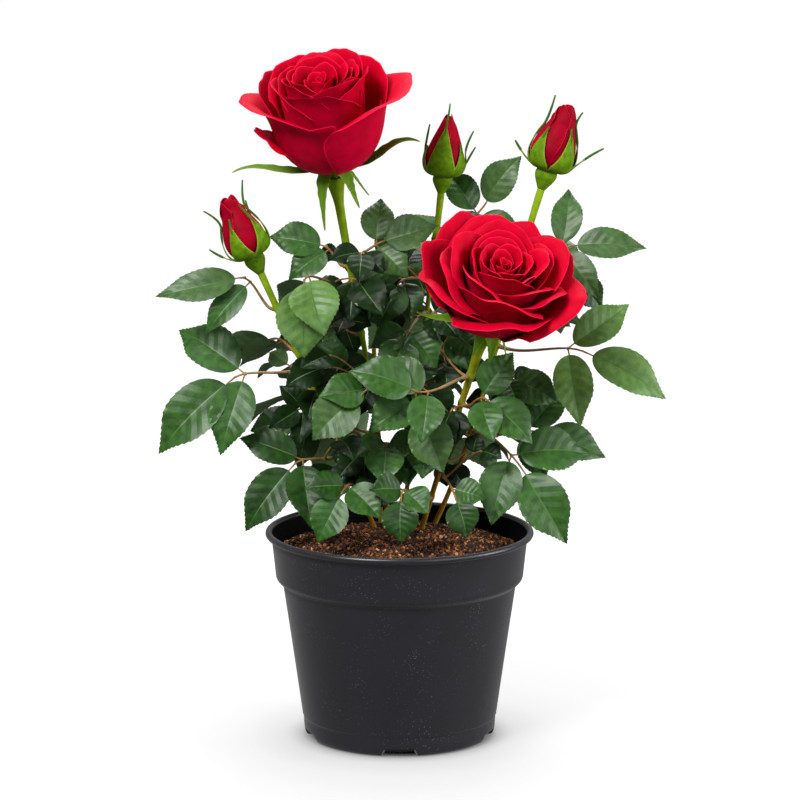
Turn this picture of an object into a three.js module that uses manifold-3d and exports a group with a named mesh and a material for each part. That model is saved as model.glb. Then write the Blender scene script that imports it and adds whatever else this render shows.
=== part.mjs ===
// A rose bush in its nursery pot: pot, potting mix, six canes, two open blooms, three buds and leafy sprays.
// Millimetres, +Z up. The origin is the middle of the pot's flat underside, and -Y is the front.
import * as THREE from "three";
import { mergeVertices } from "three/addons/utils/BufferGeometryUtils.js";
import Module from "manifold-3d";

const wasm = await Module();
wasm.setup();

// ---------------------------------------------------------------- driving dimensions

const GAP = 0.3; // clearance between two solids that touch
const UP = new THREE.Vector3(0, 0, 1);

// The pot is a two-litre round nursery pot: a rolled lip, a deep band under it and a tapering body.
const POT = {
  height: 133,
  lipRadius: 85,
  bandTopRadius: 81,
  bandFootRadius: 78.5,
  bandFootHeight: 104,
  bodyTopRadius: 73.8,
  bodyTopHeight: 98.5,
  bodyFootRadius: 62,
  bodyFootHeight: 14,
  footRadius: 57.5,
  wall: 1.6,
  floor: 6.5,
  sides: 40,
  notches: 5,
  notchWidth: 20,
  notchHeight: 4.5,
  notchDepth: 9,
};

// The mix is heaped: level where the canes stand, then falling to the wall.
const SOIL = { edge: 118, shoulder: 122, crown: 127, crownRadius: 46, shoulderRadius: 66, clear: 0.4 };

// Each cane is one smooth bend from a flat cut on the mix, foot: [x, y], to its tip: [x, y, z]. leaves and ends:
// [lean off upright, heading] of the cane at its foot and at its tip. radii: at foot and tip.
const CANES = {
  cane_left: { foot: [-16, 28], leaves: [22, 196], tip: [-86, -12, 298], ends: [24, 180], radii: [2.7, 2] },
  cane_upper: { foot: [-7, 33], leaves: [7, 230], tip: [-40, -4, 357], ends: [17, 243], radii: [3.3, 2.7] },
  cane_right: { foot: [14, 22], leaves: [22, -50], tip: [53, -18, 263], ends: [36, -70], radii: [3.1, 3.2] },
  cane_centre: { foot: [3, 39], leaves: [4, 0], tip: [26, 20, 344], ends: [6, 10], radii: [2.7, 1.9] },
  cane_far_right: { foot: [22, 35], leaves: [26, 5], tip: [89, 24, 346], ends: [18, 10], radii: [2.9, 2.1] },
  cane_back: { foot: [-12, 44], leaves: [12, 100], tip: [-18, 86, 268], ends: [26, 95], radii: [2.7, 1.6] },
};
const CANE = { sides: 7, steps: 8, rise: 0.34, nod: 0.3 }; // rise and nod: the reach of each end's direction

// A petal or sepal leaves its root at opens[0] degrees off the flower's axis, swings to opens[1], the lean of
// its wall, and ends at opens[2]. Whorls stand one inside the other; lap sets one edge of a petal over the next.
const WALL_AT = 0.6; // share of the length where the wall's lean is reached
const LAP_BY = 0.3; // share of a petal's length by which its lap is full
const PETAL_WHORLS = [
  { count: 5, turn: -126, root: 6, length: 78, width: 72, opens: [95, 20, 72], loose: 1.12, lap: 3.4, along: 5 },
  { count: 5, turn: -90, root: 7, length: 73, width: 56, opens: [60, 12, 45], loose: 1.05, lap: 3, along: 4 },
  { count: 3, turn: -108, root: 8, length: 70, width: 56, opens: [40, 6, 26], loose: 1, lap: 2.6, along: 4 },
];
const PETAL = { thick: 1.9, round: 0.24, foot: 0.12, across: 3, sway: 4, uneven: 0.05 };
// A bloom's closed middle and the hip under it, as [radius, height] pairs.
const HEART = [[0, 6], [10, 9], [15.5, 15], [17.5, 28], [17.5, 48], [16, 66], [11, 70], [0, 66]];
const HIP = [[0, 0], [2.6, 0], [4.4, 2], [6.2, 6], [6.2, 9], [4.5, 12], [0, 12]];
const SEPAL = { root: 5.2, height: 9, width: 8, thick: 1.5 };

// turn: which way a sepal points round the axis, opens as above, and its length.
const BLOOMS = {
  bloom_upper: {
    cane: "cane_upper",
    size: 1,
    seed: 3,
    sepals: [
      { turn: 180, opens: [80, 92, 112], length: 44 },
      { turn: -5, opens: [80, 62, 50], length: 48 },
      { turn: -118, opens: [120, 170, 172], length: 38 },
      { turn: -40, opens: [120, 160, 150], length: 30 },
      { turn: 75, opens: [110, 150, 150], length: 30 },
    ],
  },
  bloom_right: {
    cane: "cane_right",
    size: 0.93,
    seed: 8,
    sepals: [
      { turn: 186, opens: [90, 70, 55], length: 44 },
      { turn: -60, opens: [120, 168, 170], length: 26 },
      { turn: -20, opens: [120, 160, 150], length: 26 },
      { turn: 60, opens: [100, 120, 120], length: 30 },
      { turn: 120, opens: [100, 130, 130], length: 30 },
    ],
  },
};

const BUD_BODY = [
  [0, 0], [1.9, 0], [3.6, 2], [5.2, 6], [5.4, 9], [8.2, 13], [11, 21], [10.8, 29], [7.6, 38], [3, 45], [0, 48],
];
const BUDS = {
  bud_left: { cane: "cane_left", size: 1.06, turn: -60, lengths: [34, 48, 44, 40, 36] },
  bud_centre: { cane: "cane_centre", size: 1, turn: -40, lengths: [46, 44, 40, 42, 36] },
  bud_far_right: { cane: "cane_far_right", size: 1.08, turn: -100, lengths: [40, 44, 46, 42, 46] },
};
const BUD_SEPAL = { root: 5, height: 9, width: 8.5, thick: 1.5, opens: [52, -8, 34] };

// Each mass of foliage is one stem that leaves its cane at height z. The end leaflet of its leading leaf starts at
// foot, ends at tip and is wide across. Behind it stand pairs of smaller leaflets, or only the lower of the pair
// where the leaf hangs; faces is the heading that the upper sides turn to. By a seeded rule, more further leaves
// branch off. One pair, no further leaf and a front facing go unsaid.
const SPRAYS = {
  foliage_left_upper: {
    on: "cane_left", z: 276, foot: [-97, -5, 295], tip: [-152, -12, 284], wide: 22, hangs: true,
  },
  foliage_left_middle: {
    on: "cane_left", z: 237, foot: [-104, -4, 231], tip: [-152, -12, 184], wide: 33, more: 1,
  },
  foliage_left_dark: {
    on: "cane_left", z: 205, foot: [-60, 26, 198], tip: [-96, 32, 190], wide: 22, hangs: true,
  },
  foliage_left_lower: { on: "cane_left", z: 180, foot: [-66, -15, 178], tip: [-97, -25, 137], wide: 27 },
  foliage_front_left: { on: "cane_left", z: 160, foot: [-36, -42, 165], tip: [-51, -50, 135], wide: 24 },
  foliage_front: { on: "cane_right", z: 150, foot: [1, -50, 164], tip: [1, -58, 137], wide: 23 },
  foliage_front_right: { on: "cane_right", z: 170, foot: [35, -45, 162], tip: [42, -52, 139], wide: 21 },
  foliage_right_lower: { on: "cane_right", z: 206, foot: [76, -20, 177], tip: [105, -34, 131], wide: 31 },
  foliage_right_fan: { on: "cane_far_right", z: 190, foot: [88, 8, 194], tip: [131, 6, 178], wide: 25 },
  foliage_right_inner: { on: "cane_right", z: 214, foot: [53, -18, 221], tip: [83, -27, 193], wide: 26 },
  foliage_right_middle: {
    on: "cane_far_right", z: 246, foot: [116, 0, 247], tip: [168, -6, 218], wide: 27,
  },
  foliage_right_dark: {
    on: "cane_far_right", z: 222, foot: [70, 12, 228], tip: [100, 8, 213], wide: 24, more: 1,
  },
  foliage_right_upper: {
    on: "cane_far_right", z: 300, foot: [107, 15, 312], tip: [155, 10, 311], wide: 22,
  },
  foliage_right_behind: {
    on: "cane_far_right", z: 280, foot: [108, 36, 292], tip: [130, 34, 268], wide: 20, more: 1,
  },
  foliage_top_right: { on: "cane_centre", z: 318, foot: [53, 22, 336], tip: [76, 22, 368], wide: 22 },
  foliage_top_centre: { on: "cane_upper", z: 306, foot: [-12, 2, 316], tip: [24, 2, 327], wide: 24 },
  foliage_upper_left: {
    on: "cane_upper", z: 300, foot: [-46, 12, 312], tip: [-82, 16, 318], wide: 23, hangs: true,
  },
  foliage_upper_front: { on: "cane_upper", z: 290, foot: [-59, -26, 296], tip: [-59, -36, 249], wide: 34 },
  foliage_centre_upper: { on: "cane_centre", z: 290, foot: [0, 8, 290], tip: [-14, -8, 264], wide: 24 },
  foliage_centre_right: { on: "cane_right", z: 232, foot: [11, -36, 228], tip: [-31, -38, 242], wide: 28 },
  foliage_centre: { on: "cane_centre", z: 225, foot: [12, -30, 214], tip: [27, -42, 178], wide: 28 },
  foliage_centre_left: { on: "cane_upper", z: 226, foot: [-24, -38, 226], tip: [-54, -48, 200], wide: 30 },
  foliage_low_centre: { on: "cane_upper", z: 176, foot: [-8, -12, 190], tip: [-10, -34, 168], wide: 24 },
  foliage_low_right: {
    on: "cane_centre", z: 170, foot: [20, 4, 190], tip: [14, -14, 168], wide: 24, more: 1,
  },
  foliage_middle_high: { on: "cane_centre", z: 268, foot: [4, 4, 256], tip: [-6, -14, 230], wide: 26 },
  foliage_middle_left: { on: "cane_left", z: 222, foot: [-44, -2, 234], tip: [-36, -18, 208], wide: 26 },
  foliage_middle_right: { on: "cane_centre", z: 236, foot: [36, 22, 258], tip: [44, 14, 232], wide: 24 },
  foliage_core_right: { on: "cane_far_right", z: 196, foot: [68, 46, 214], tip: [82, 42, 188], wide: 26 },
  foliage_core_low: {
    on: "cane_upper", z: 150, foot: [-38, 42, 164], tip: [-60, 44, 144], wide: 24, hangs: true,
  },
  foliage_upper_dark: { on: "cane_upper", z: 256, foot: [-48, 20, 272], tip: [-64, 26, 246], wide: 24 },
  foliage_back_high: {
    on: "cane_back", z: 250, foot: [-28, 104, 268], tip: [-40, 142, 256], wide: 28, pairs: 2, more: 1, faces: 90,
  },
  foliage_back_top: {
    on: "cane_back", z: 264, foot: [6, 84, 296], tip: [24, 108, 318], wide: 26, more: 1, faces: 90,
  },
  foliage_back_middle: {
    on: "cane_back", z: 215, foot: [14, 88, 222], tip: [34, 122, 198], wide: 30, pairs: 2, more: 1, faces: 90,
  },
  foliage_back_left: {
    on: "cane_left", z: 246, foot: [-84, 50, 246], tip: [-114, 82, 224], wide: 30, pairs: 2, faces: 120,
  },
  foliage_back_low: {
    on: "cane_back", z: 180, foot: [-36, 74, 176], tip: [-54, 104, 144], wide: 28, more: 1, faces: 90,
  },
  foliage_back_right: {
    on: "cane_far_right", z: 262, foot: [84, 72, 262], tip: [106, 108, 240], wide: 30, pairs: 2, more: 1, faces: 70,
  },
  foliage_low_back: {
    on: "cane_centre", z: 182, foot: [44, 66, 180], tip: [62, 98, 148], wide: 28, more: 1, faces: 80,
  },
  foliage_side_left: {
    on: "cane_back", z: 184, foot: [-64, 62, 208], tip: [-98, 78, 186], wide: 28, more: 1, faces: 150,
  },
  foliage_back_centre: {
    on: "cane_centre", z: 262, foot: [30, 62, 268], tip: [48, 96, 252], wide: 28, more: 1, faces: 90,
  },
  foliage_upper_back: {
    on: "cane_upper", z: 268, foot: [-52, 40, 282], tip: [-78, 68, 268], wide: 28, more: 1, faces: 120,
  },
};
const LEAF = {
  stalk: 0.1, // share of a leaflet that is its bare stalk
  stalkRadius: 1,
  half: 0.55, // half its thickness
  arch: 0.07, // height of its arch over its length
  fold: 0.22, // rise of its two halves from the midrib
  across: 2,
  along: 4,
  gather: 1.3, // draws its rows of points towards the broad end
  facing: 32, // rise of the side it shows, in degrees
};
const TWIG = { startRadius: 1.25, endRadius: 0.85, sides: 3, steps: 4, sunk: 2.5 };
// A pair of side leaflets stands at share first of the rib, the next pair step behind it. splay is their angle off
// the rib and droop their fall; share is their size against the end leaflet, and each pair's is shrink less.
const PAIR = { first: 0.75, step: 0.25, splay: 62, droop: 0.3, share: 0.84, shrink: 0.14 };
// A further leaf leaves the leading rib at share from, splay degrees off it give or take swing, and climbs at rise
// give or take tilt. reach and leaf are the lengths of its rib and its end leaflet against the leading leaf's.
const MORE = { from: 0.25, splay: 68, swing: 24, rise: 12, tilt: 26, reach: 0.78, leaf: 0.84 };
// Rows of points on each leaflet and rib feel for room: across and along a leaflet from row from, and rib along a
// rib from point ribFrom. Each keeps its least distance in CLEAR from other leaves, other ribs and the canes.
const PROBES = { across: 6, along: 12, from: 2, rib: 14, ribFrom: 4 };
const CLEAR = { leaf: 5.2, rib: 3.6, leafFromCane: 3, ribFromCane: 1.8 };
const KEEP_OUT = { bloom: [46, 54], bud: [26, 17] }; // height of the middle and radius of a flower's own space

// ---------------------------------------------------------------- solids

/** The closed geometry as a manifold solid. */
function solidOf(geometry) {
  const bare = new THREE.BufferGeometry();
  bare.setAttribute("position", geometry.getAttribute("position").clone());
  if (geometry.index) bare.setIndex(geometry.index.clone());
  const merged = mergeVertices(bare, 1e-4);
  const used = [];
  const index = merged.index.array;
  for (let i = 0; i < index.length; i += 3) {
    const [a, b, c] = [index[i], index[i + 1], index[i + 2]];
    if (a !== b && b !== c && a !== c) used.push(a, b, c);
  }
  const vertProperties = new Float32Array(merged.attributes.position.array);
  return new wasm.Manifold(new wasm.Mesh({ numProp: 3, vertProperties, triVerts: new Uint32Array(used) }));
}

/** A manifold solid as a three.js geometry. */
function geometryOf(solid) {
  const mesh = solid.getMesh();
  const geometry = new THREE.BufferGeometry();
  const position = new Float32Array(mesh.numVert * 3);
  for (let i = 0; i < mesh.numVert; i++) {
    position.set(mesh.vertProperties.subarray(i * mesh.numProp, i * mesh.numProp + 3), i * 3);
  }
  geometry.setAttribute("position", new THREE.BufferAttribute(position, 3));
  geometry.setIndex(new THREE.BufferAttribute(new Uint32Array(mesh.triVerts), 1));
  geometry.computeVertexNormals();
  return geometry;
}

/** One solid of several that run into each other; scraps that touch nothing are dropped. */
function fuse(geometries) {
  let whole = solidOf(geometries[0]);
  for (const geometry of geometries.slice(1)) whole = whole.add(solidOf(geometry));
  const bodies = whole.decompose().sort((a, b) => b.volume() - a.volume());
  return geometryOf(bodies[0]);
}

function named(name, geometry, material) {
  const mesh = new THREE.Mesh(geometry, material);
  mesh.name = name;
  return mesh;
}

/** A profile of [radius, height] pairs turned about the upright axis. */
function turned(profile, sides) {
  const points = profile.map(([radius, height]) => new THREE.Vector2(radius, height));
  return new THREE.LatheGeometry(points, sides).rotateX(Math.PI / 2);
}

/** A closed thin blade. surface(u, v) gives its middle, with u from -1 to 1 and v from 0 to 1. It is half thick to
 *  each side and comes to nothing at its rim. */
function blade(surface, half, across, along) {
  const step = 1e-3;
  const position = [];
  const faces = [];
  const normalAt = (u, v) => {
    const du = surface(Math.min(u + step, 1), v).sub(surface(Math.max(u - step, -1), v));
    const dv = surface(u, Math.min(v + step, 1)).sub(surface(u, Math.max(v - step, 0)));
    return du.cross(dv).normalize();
  };
  for (const side of [1, -1]) {
    for (let j = 0; j <= along; j++) {
      for (let i = 0; i <= across; i++) {
        const [u, v] = [(2 * i) / across - 1, j / along];
        const rim = i === 0 || i === across || j === 0 || j === along;
        const p = surface(u, v);
        if (!rim) p.addScaledVector(normalAt(u, v), side * half);
        position.push(p.x, p.y, p.z);
      }
    }
  }
  const row = across + 1;
  const layer = row * (along + 1);
  for (let j = 0; j < along; j++) {
    for (let i = 0; i < across; i++) {
      const a = j * row + i;
      const [b, c, d] = [a + 1, a + row + 1, a + row];
      faces.push(a, b, c, a, c, d);
      faces.push(layer + a, layer + c, layer + b, layer + a, layer + d, layer + c);
    }
  }
  const geometry = new THREE.BufferGeometry();
  geometry.setAttribute("position", new THREE.Float32BufferAttribute(position, 3));
  geometry.setIndex(faces);
  return geometry;
}

/** A tapering round limb: a cylinder bent along the curve, with a flat cut at each end. */
function limb(curve, startRadius, endRadius, sides, steps) {
  const straight = new THREE.CylinderGeometry(endRadius, startRadius, 1, sides, steps);
  const across = [];
  let last = Math.abs(curve.getTangent(0).z) > 0.7 ? new THREE.Vector3(1, 0, 0) : UP;
  for (let k = 0; k <= steps; k++) {
    last = squareTo(last, curve.getTangent(k / steps));
    across.push(last);
  }
  const position = straight.getAttribute("position");
  for (let i = 0; i < position.count; i++) {
    const share = position.getY(i) + 0.5;
    const side = across[Math.round(share * steps)];
    const other = side.clone().cross(curve.getTangent(share));
    const p = curve
      .getPoint(share)
      .addScaledVector(side, position.getX(i))
      .addScaledVector(other, position.getZ(i));
    position.setXYZ(i, p.x, p.y, p.z);
  }
  return straight;
}

// ---------------------------------------------------------------- directions and chance

const RAD = Math.PI / 180;

/** A unit vector from its heading (0 = +X, 90 = +Y) and its rise above level, in degrees. */
function toward(heading, rise) {
  const level = Math.cos(rise * RAD);
  return new THREE.Vector3(
    level * Math.cos(heading * RAD),
    level * Math.sin(heading * RAD),
    Math.sin(rise * RAD),
  );
}

/** The same share from 0 to 1 each time for a seed and a draw. */
function chance(seed, draw) {
  const wave = Math.sin(seed * 12.9898 + draw * 78.233) * 43758.5453;
  return wave - Math.floor(wave);
}

/** The part of a that stands square to the unit vector b, as a unit vector. */
function squareTo(a, b) {
  return a.clone().addScaledVector(b, -a.dot(b)).normalize();
}

// ---------------------------------------------------------------- pot and potting mix

function potSolid(material) {
  const { wall, floor } = POT;
  const lip = 2.1;
  const lipMiddle = [POT.lipRadius - lip, POT.height - lip];
  const lipArc = [-60, -10, 40, 90, 140].map((angle) => [
    lipMiddle[0] + lip * Math.cos(angle * RAD),
    lipMiddle[1] + lip * Math.sin(angle * RAD),
  ]);
  const profile = [
    [0, 0],
    [POT.footRadius, 0],
    [POT.bodyFootRadius - 1.4, 3],
    [POT.bodyFootRadius - 0.8, 8],
    [POT.bodyFootRadius, POT.bodyFootHeight],
    [POT.bodyTopRadius, POT.bodyTopHeight],
    [POT.bandFootRadius - 0.8, POT.bandFootHeight - 3],
    [POT.bandFootRadius, POT.bandFootHeight],
    [POT.bandTopRadius, POT.height - 2 * lip - 0.6],
    ...lipArc,
    [POT.bandTopRadius - wall, POT.height - 2 * lip - 0.6],
    [POT.bandFootRadius - wall, POT.bandFootHeight],
    [POT.bodyTopRadius - wall, POT.bodyTopHeight],
    [POT.bodyFootRadius - wall - 0.6, POT.bodyFootHeight],
    [POT.footRadius, floor],
    [0, floor],
  ];
  let pot = solidOf(turned(profile, POT.sides));
  for (let k = 0; k < POT.notches; k++) {
    const angle = -Math.PI / 2 + (k * 2 * Math.PI) / POT.notches;
    const reach = POT.bodyFootRadius + 4 - (POT.footRadius - POT.notchDepth);
    const middle = POT.footRadius - POT.notchDepth + reach / 2;
    const notch = new THREE.BoxGeometry(reach, POT.notchWidth, 2 * POT.notchHeight)
      .translate(middle, 0, 0)
      .rotateZ(angle);
    pot = pot.subtract(solidOf(notch));
  }
  return named("nursery_pot", geometryOf(pot), material);
}

function mixSolid(material) {
  const clear = POT.wall + SOIL.clear;
  const wallShare = (SOIL.edge - POT.bandFootHeight) / (POT.height - 4.8 - POT.bandFootHeight);
  const edgeRadius = POT.bandFootRadius + wallShare * (POT.bandTopRadius - POT.bandFootRadius) - clear;
  const profile = [
    [0, POT.floor + SOIL.clear],
    [POT.footRadius - 1.5, POT.floor + SOIL.clear],
    [POT.bodyFootRadius - clear - 1, POT.bodyFootHeight],
    [POT.bodyTopRadius - clear, POT.bodyTopHeight + 0.3],
    [POT.bandFootRadius - clear, POT.bandFootHeight + 0.3],
    [edgeRadius, SOIL.edge],
    [SOIL.shoulderRadius, SOIL.shoulder],
    [SOIL.crownRadius, SOIL.crown],
    [0, SOIL.crown],
  ];
  return named("potting_mix", turned(profile, POT.sides), material);
}

// ---------------------------------------------------------------- canes

function caneOf(name) {
  const { foot: [x, y], leaves, tip, ends, radii } = CANES[name];
  const foot = new THREE.Vector3(x, y, SOIL.crown + GAP);
  const top = new THREE.Vector3(...tip);
  const height = top.z - foot.z;
  const axis = toward(ends[1], 90 - ends[0]);
  const curve = new THREE.CubicBezierCurve3(
    foot,
    foot.clone().addScaledVector(toward(leaves[1], 90 - leaves[0]), CANE.rise * height),
    top.clone().addScaledVector(axis, -CANE.nod * height),
    top,
  );
  return { name, curve, tip: top, axis, radii, radiusAt: (share) => radii[0] + share * (radii[1] - radii[0]) };
}

const canes = Object.fromEntries(Object.keys(CANES).map((name) => [name, caneOf(name)]));

/** A cane, with the ring at its foot turned level for a flat cut on the mix. */
function caneSolid(cane, material) {
  const stem = limb(cane.curve, ...cane.radii, CANE.sides, CANE.steps);
  const position = stem.getAttribute("position");
  const ground = cane.curve.v0.z;
  for (let i = 0; i < position.count; i++) {
    if (position.getZ(i) < ground + cane.radii[0]) position.setZ(i, ground);
  }
  return named(cane.name, stem, material);
}

// ---------------------------------------------------------------- blooms and buds

/** The frame of a flower: its root on the cane's tip, its axis, and two directions square to it. */
function flowerFrame(cane) {
  const root = cane.tip.clone().addScaledVector(cane.axis, GAP);
  const right = squareTo(new THREE.Vector3(1, 0, 0), cane.axis);
  const back = cane.axis.clone().cross(right);
  return new THREE.Matrix4().makeBasis(right, back, cane.axis).setPosition(root);
}

/** Radius and height along a petal or sepal, from its root at (root, height), by adding up its lean. */
function openingProfile({ root, height, length, opens }) {
  const steps = 24;
  const [start, wall, end] = opens;
  const points = [[root, height]];
  for (let k = 0; k < steps; k++) {
    const v = (k + 0.5) / steps;
    const lean =
      v < WALL_AT
        ? wall + (start - wall) * (1 - v / WALL_AT) ** 1.6
        : wall + (end - wall) * ((v - WALL_AT) / (1 - WALL_AT)) ** 1.5;
    const [radius, rise] = points[k];
    const stride = length / steps;
    points.push([radius + stride * Math.sin(lean * RAD), rise + stride * Math.cos(lean * RAD)]);
  }
  return (v) => {
    const k = Math.min(Math.floor(v * steps), steps - 1);
    const part = v * steps - k;
    return points[k].map((value, axis) => value + part * (points[k + 1][axis] - value));
  };
}

/** One petal as a closed thin blade in the flower's frame. */
function petal(whorl, index, seed, height) {
  const draw = (k) => chance(seed, index * 7 + k) * 2 - 1;
  const turn = whorl.turn + (index * 360) / whorl.count + PETAL.sway * draw(1);
  const length = whorl.length * (1 + PETAL.uneven * draw(2));
  const opens = [whorl.opens[0], whorl.opens[1], whorl.opens[2] + 8 * draw(3)];
  const profile = openingProfile({ root: whorl.root, height, length, opens });
  const surface = (u, v) => {
    const share = v * (1 - PETAL.round * Math.abs(u) ** 2.6);
    const [radius, rise] = profile(share);
    const spread = Math.sin((Math.PI / 2) * Math.min(share / 0.7, 1));
    const half = (whorl.width / 2) * (PETAL.foot + (1 - PETAL.foot) * spread);
    const bend = radius * whorl.loose;
    const angle = (u * half) / bend;
    const out = radius - bend + bend * Math.cos(angle) + whorl.lap * u * Math.min(1, share / LAP_BY);
    const across = bend * Math.sin(angle);
    const [c, s] = [Math.cos(turn * RAD), Math.sin(turn * RAD)];
    return new THREE.Vector3(out * c - across * s, out * s + across * c, rise);
  };
  return blade(surface, PETAL.thick / 2, PETAL.across, whorl.along);
}

/** One sepal as a closed thin blade in the flower's frame. */
function sepal({ root, height, width, thick }, { turn, opens, length }) {
  const profile = openingProfile({ root: root - 1.5, height, length, opens });
  const surface = (u, v) => {
    const [radius, rise] = profile(v);
    const half = (width / 2) * Math.min(1, 0.55 + 2 * v) * (1 - v) ** 0.8;
    const [c, s] = [Math.cos(turn * RAD), Math.sin(turn * RAD)];
    return new THREE.Vector3(radius * c - u * half * s, radius * s + u * half * c, rise);
  };
  return blade(surface, thick / 2, 2, 4);
}

function bloomSolid(name, material) {
  const { cane, size, seed, sepals } = BLOOMS[name];
  const pieces = [turned(HIP, 8), turned(HEART, 8)];
  PETAL_WHORLS.forEach((whorl, row) => {
    for (let k = 0; k < whorl.count; k++) pieces.push(petal(whorl, k, seed + row, 8 + row));
  });
  for (const one of sepals) pieces.push(sepal(SEPAL, one));
  const geometry = fuse(pieces).scale(size, size, size).applyMatrix4(flowerFrame(canes[cane]));
  return named(name, geometry, material);
}

function budSolid(name, material) {
  const { cane, size, turn, lengths } = BUDS[name];
  const pieces = [turned(BUD_BODY, 8)];
  lengths.forEach((length, k) => {
    pieces.push(sepal(BUD_SEPAL, { turn: turn + 72 * k, opens: BUD_SEPAL.opens, length }));
  });
  const geometry = fuse(pieces).scale(size, size, size).applyMatrix4(flowerFrame(canes[cane]));
  return named(name, geometry, material);
}

// ---------------------------------------------------------------- foliage

/** The share of the cane's curve that lies at height z. */
function shareAt(cane, z) {
  let [low, high] = [0, 1];
  for (let k = 0; k < 30; k++) {
    const middle = (low + high) / 2;
    if (cane.curve.getPoint(middle).z < z) low = middle;
    else high = middle;
  }
  return low;
}

/** The middle surface of a leaflet: u from -1 to 1 across it, t from 0 at its foot to 1 at its tip. */
function leafSurface({ foot, tip, wide, faces }) {
  const length = foot.distanceTo(tip);
  const along = tip.clone().sub(foot).normalize();
  const up = squareTo(toward(faces, LEAF.facing), along);
  const side = along.clone().cross(up);
  return (u, t) => {
    const v = t ** LEAF.gather;
    const s = Math.max(0, (v - LEAF.stalk) / (1 - LEAF.stalk));
    const outline = (s ** 0.5 * (1 - s) ** 0.8) / 0.42;
    const half = Math.max((wide / 2) * outline, v < 0.5 ? LEAF.stalkRadius : 0);
    const rise = LEAF.arch * length * 4 * v * (1 - v) + LEAF.fold * Math.abs(u) * half;
    return foot
      .clone()
      .addScaledVector(along, length * v)
      .addScaledVector(up, rise)
      .addScaledVector(side, u * half);
  };
}

/** A compound leaf: its curved rib and its leaflets, the end one first. */
function compoundLeaf({ start, out, foot, tip, wide, faces, pairs, seed, hangs }) {
  const span = start.distanceTo(foot);
  const along = tip.clone().sub(foot).normalize();
  const rib = new THREE.CubicBezierCurve3(
    start,
    start.clone().addScaledVector(out, 0.35 * span),
    foot.clone().addScaledVector(along, -0.25 * span),
    foot.clone().addScaledVector(along, TWIG.sunk),
  );
  const leaflets = [{ foot, tip, wide, faces }];
  const length = foot.distanceTo(tip);
  const facing = toward(faces, LEAF.facing);
  for (let k = 0; k < pairs; k++) {
    const share = PAIR.first - PAIR.step * k;
    const root = rib.getPoint(share);
    const onward = rib.getTangent(share);
    const acrossUp = onward.clone().cross(facing).z > 0 ? 1 : -1;
    for (const side of hangs ? [-acrossUp] : [1, -1]) {
      const jitter = chance(seed, 11 + 2 * k + (side + 1) / 2);
      const across = onward.clone().cross(facing).normalize().multiplyScalar(side);
      const splay = (PAIR.splay + 16 * (jitter - 0.5)) * RAD;
      const way = onward.clone().multiplyScalar(Math.cos(splay)).addScaledVector(across, Math.sin(splay));
      way.z -= PAIR.droop;
      way.normalize();
      const size = (PAIR.share - PAIR.shrink * k) * (0.92 + 0.16 * jitter);
      const end = root.clone().addScaledVector(way, length * size);
      leaflets.push({ foot: root, tip: end, wide: wide * size * 1.06, faces });
    }
  }
  return { rib, leaflets };
}

/** The leading leaf of a spray, which starts just clear of the cane's skin and square to it. */
function leadingLeaf(name, seed) {
  const { on, z, foot, tip, wide, pairs = 1, faces = -90, hangs = false } = SPRAYS[name];
  const cane = canes[on];
  const share = shareAt(cane, z);
  const middle = cane.curve.getPoint(share);
  const goal = new THREE.Vector3(...foot);
  const out = squareTo(goal.clone().sub(middle), cane.curve.getTangent(share));
  const start = middle.addScaledVector(out, cane.radiusAt(share) + GAP);
  const end = new THREE.Vector3(...tip);
  return compoundLeaf({ start, out, foot: goal, tip: end, wide, faces, pairs, seed, hangs });
}

/** A further leaf, which branches off the leading one's rib and swings to one side of it. */
function furtherLeaf(name, leader, seed, k) {
  const { faces = -90, wide } = SPRAYS[name];
  const draw = (n) => chance(seed, 31 + 9 * k + n) * 2 - 1;
  const start = leader.rib.getPoint(MORE.from);
  const goal = leader.leaflets[0].foot.clone().sub(start);
  const reach = goal.length() * MORE.reach * (1 + 0.15 * draw(1));
  const side = (seed + k) % 2 ? 1 : -1;
  const heading = Math.atan2(goal.y, goal.x) / RAD + side * (MORE.splay + MORE.swing * draw(2));
  const rise = MORE.rise + MORE.tilt * draw(3);
  const foot = start.clone().addScaledVector(toward(heading, rise), reach);
  const length = leader.leaflets[0].foot.distanceTo(leader.leaflets[0].tip) * MORE.leaf;
  const tip = foot.clone().addScaledVector(toward(heading + 20 * draw(4), rise - 45), length);
  const out = leader.rib.getTangent(MORE.from);
  return compoundLeaf({ start, out, foot, tip, wide: wide * MORE.leaf, faces, pairs: 1, seed: seed + 50 + k });
}

function leafProbes(leaflet) {
  const surface = leafSurface(leaflet);
  const points = [];
  for (let j = PROBES.from; j <= PROBES.along; j++) {
    for (let i = 0; i <= PROBES.across; i++) {
      points.push(surface((2 * i) / PROBES.across - 1, j / PROBES.along));
    }
  }
  return points;
}

function ribProbes(rib) {
  const points = [];
  for (let k = PROBES.ribFrom; k <= PROBES.rib; k++) points.push(rib.getPoint(k / PROBES.rib));
  return points;
}

function distanceToSpan(p, a, b) {
  const span = b.clone().sub(a);
  const share = Math.min(Math.max(p.clone().sub(a).dot(span) / span.lengthSq(), 0), 1);
  return p.distanceTo(a.clone().addScaledVector(span, share));
}

const taken = { leaf: [], rib: [] }; // the points of what has been placed, and the spray that owns each

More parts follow.
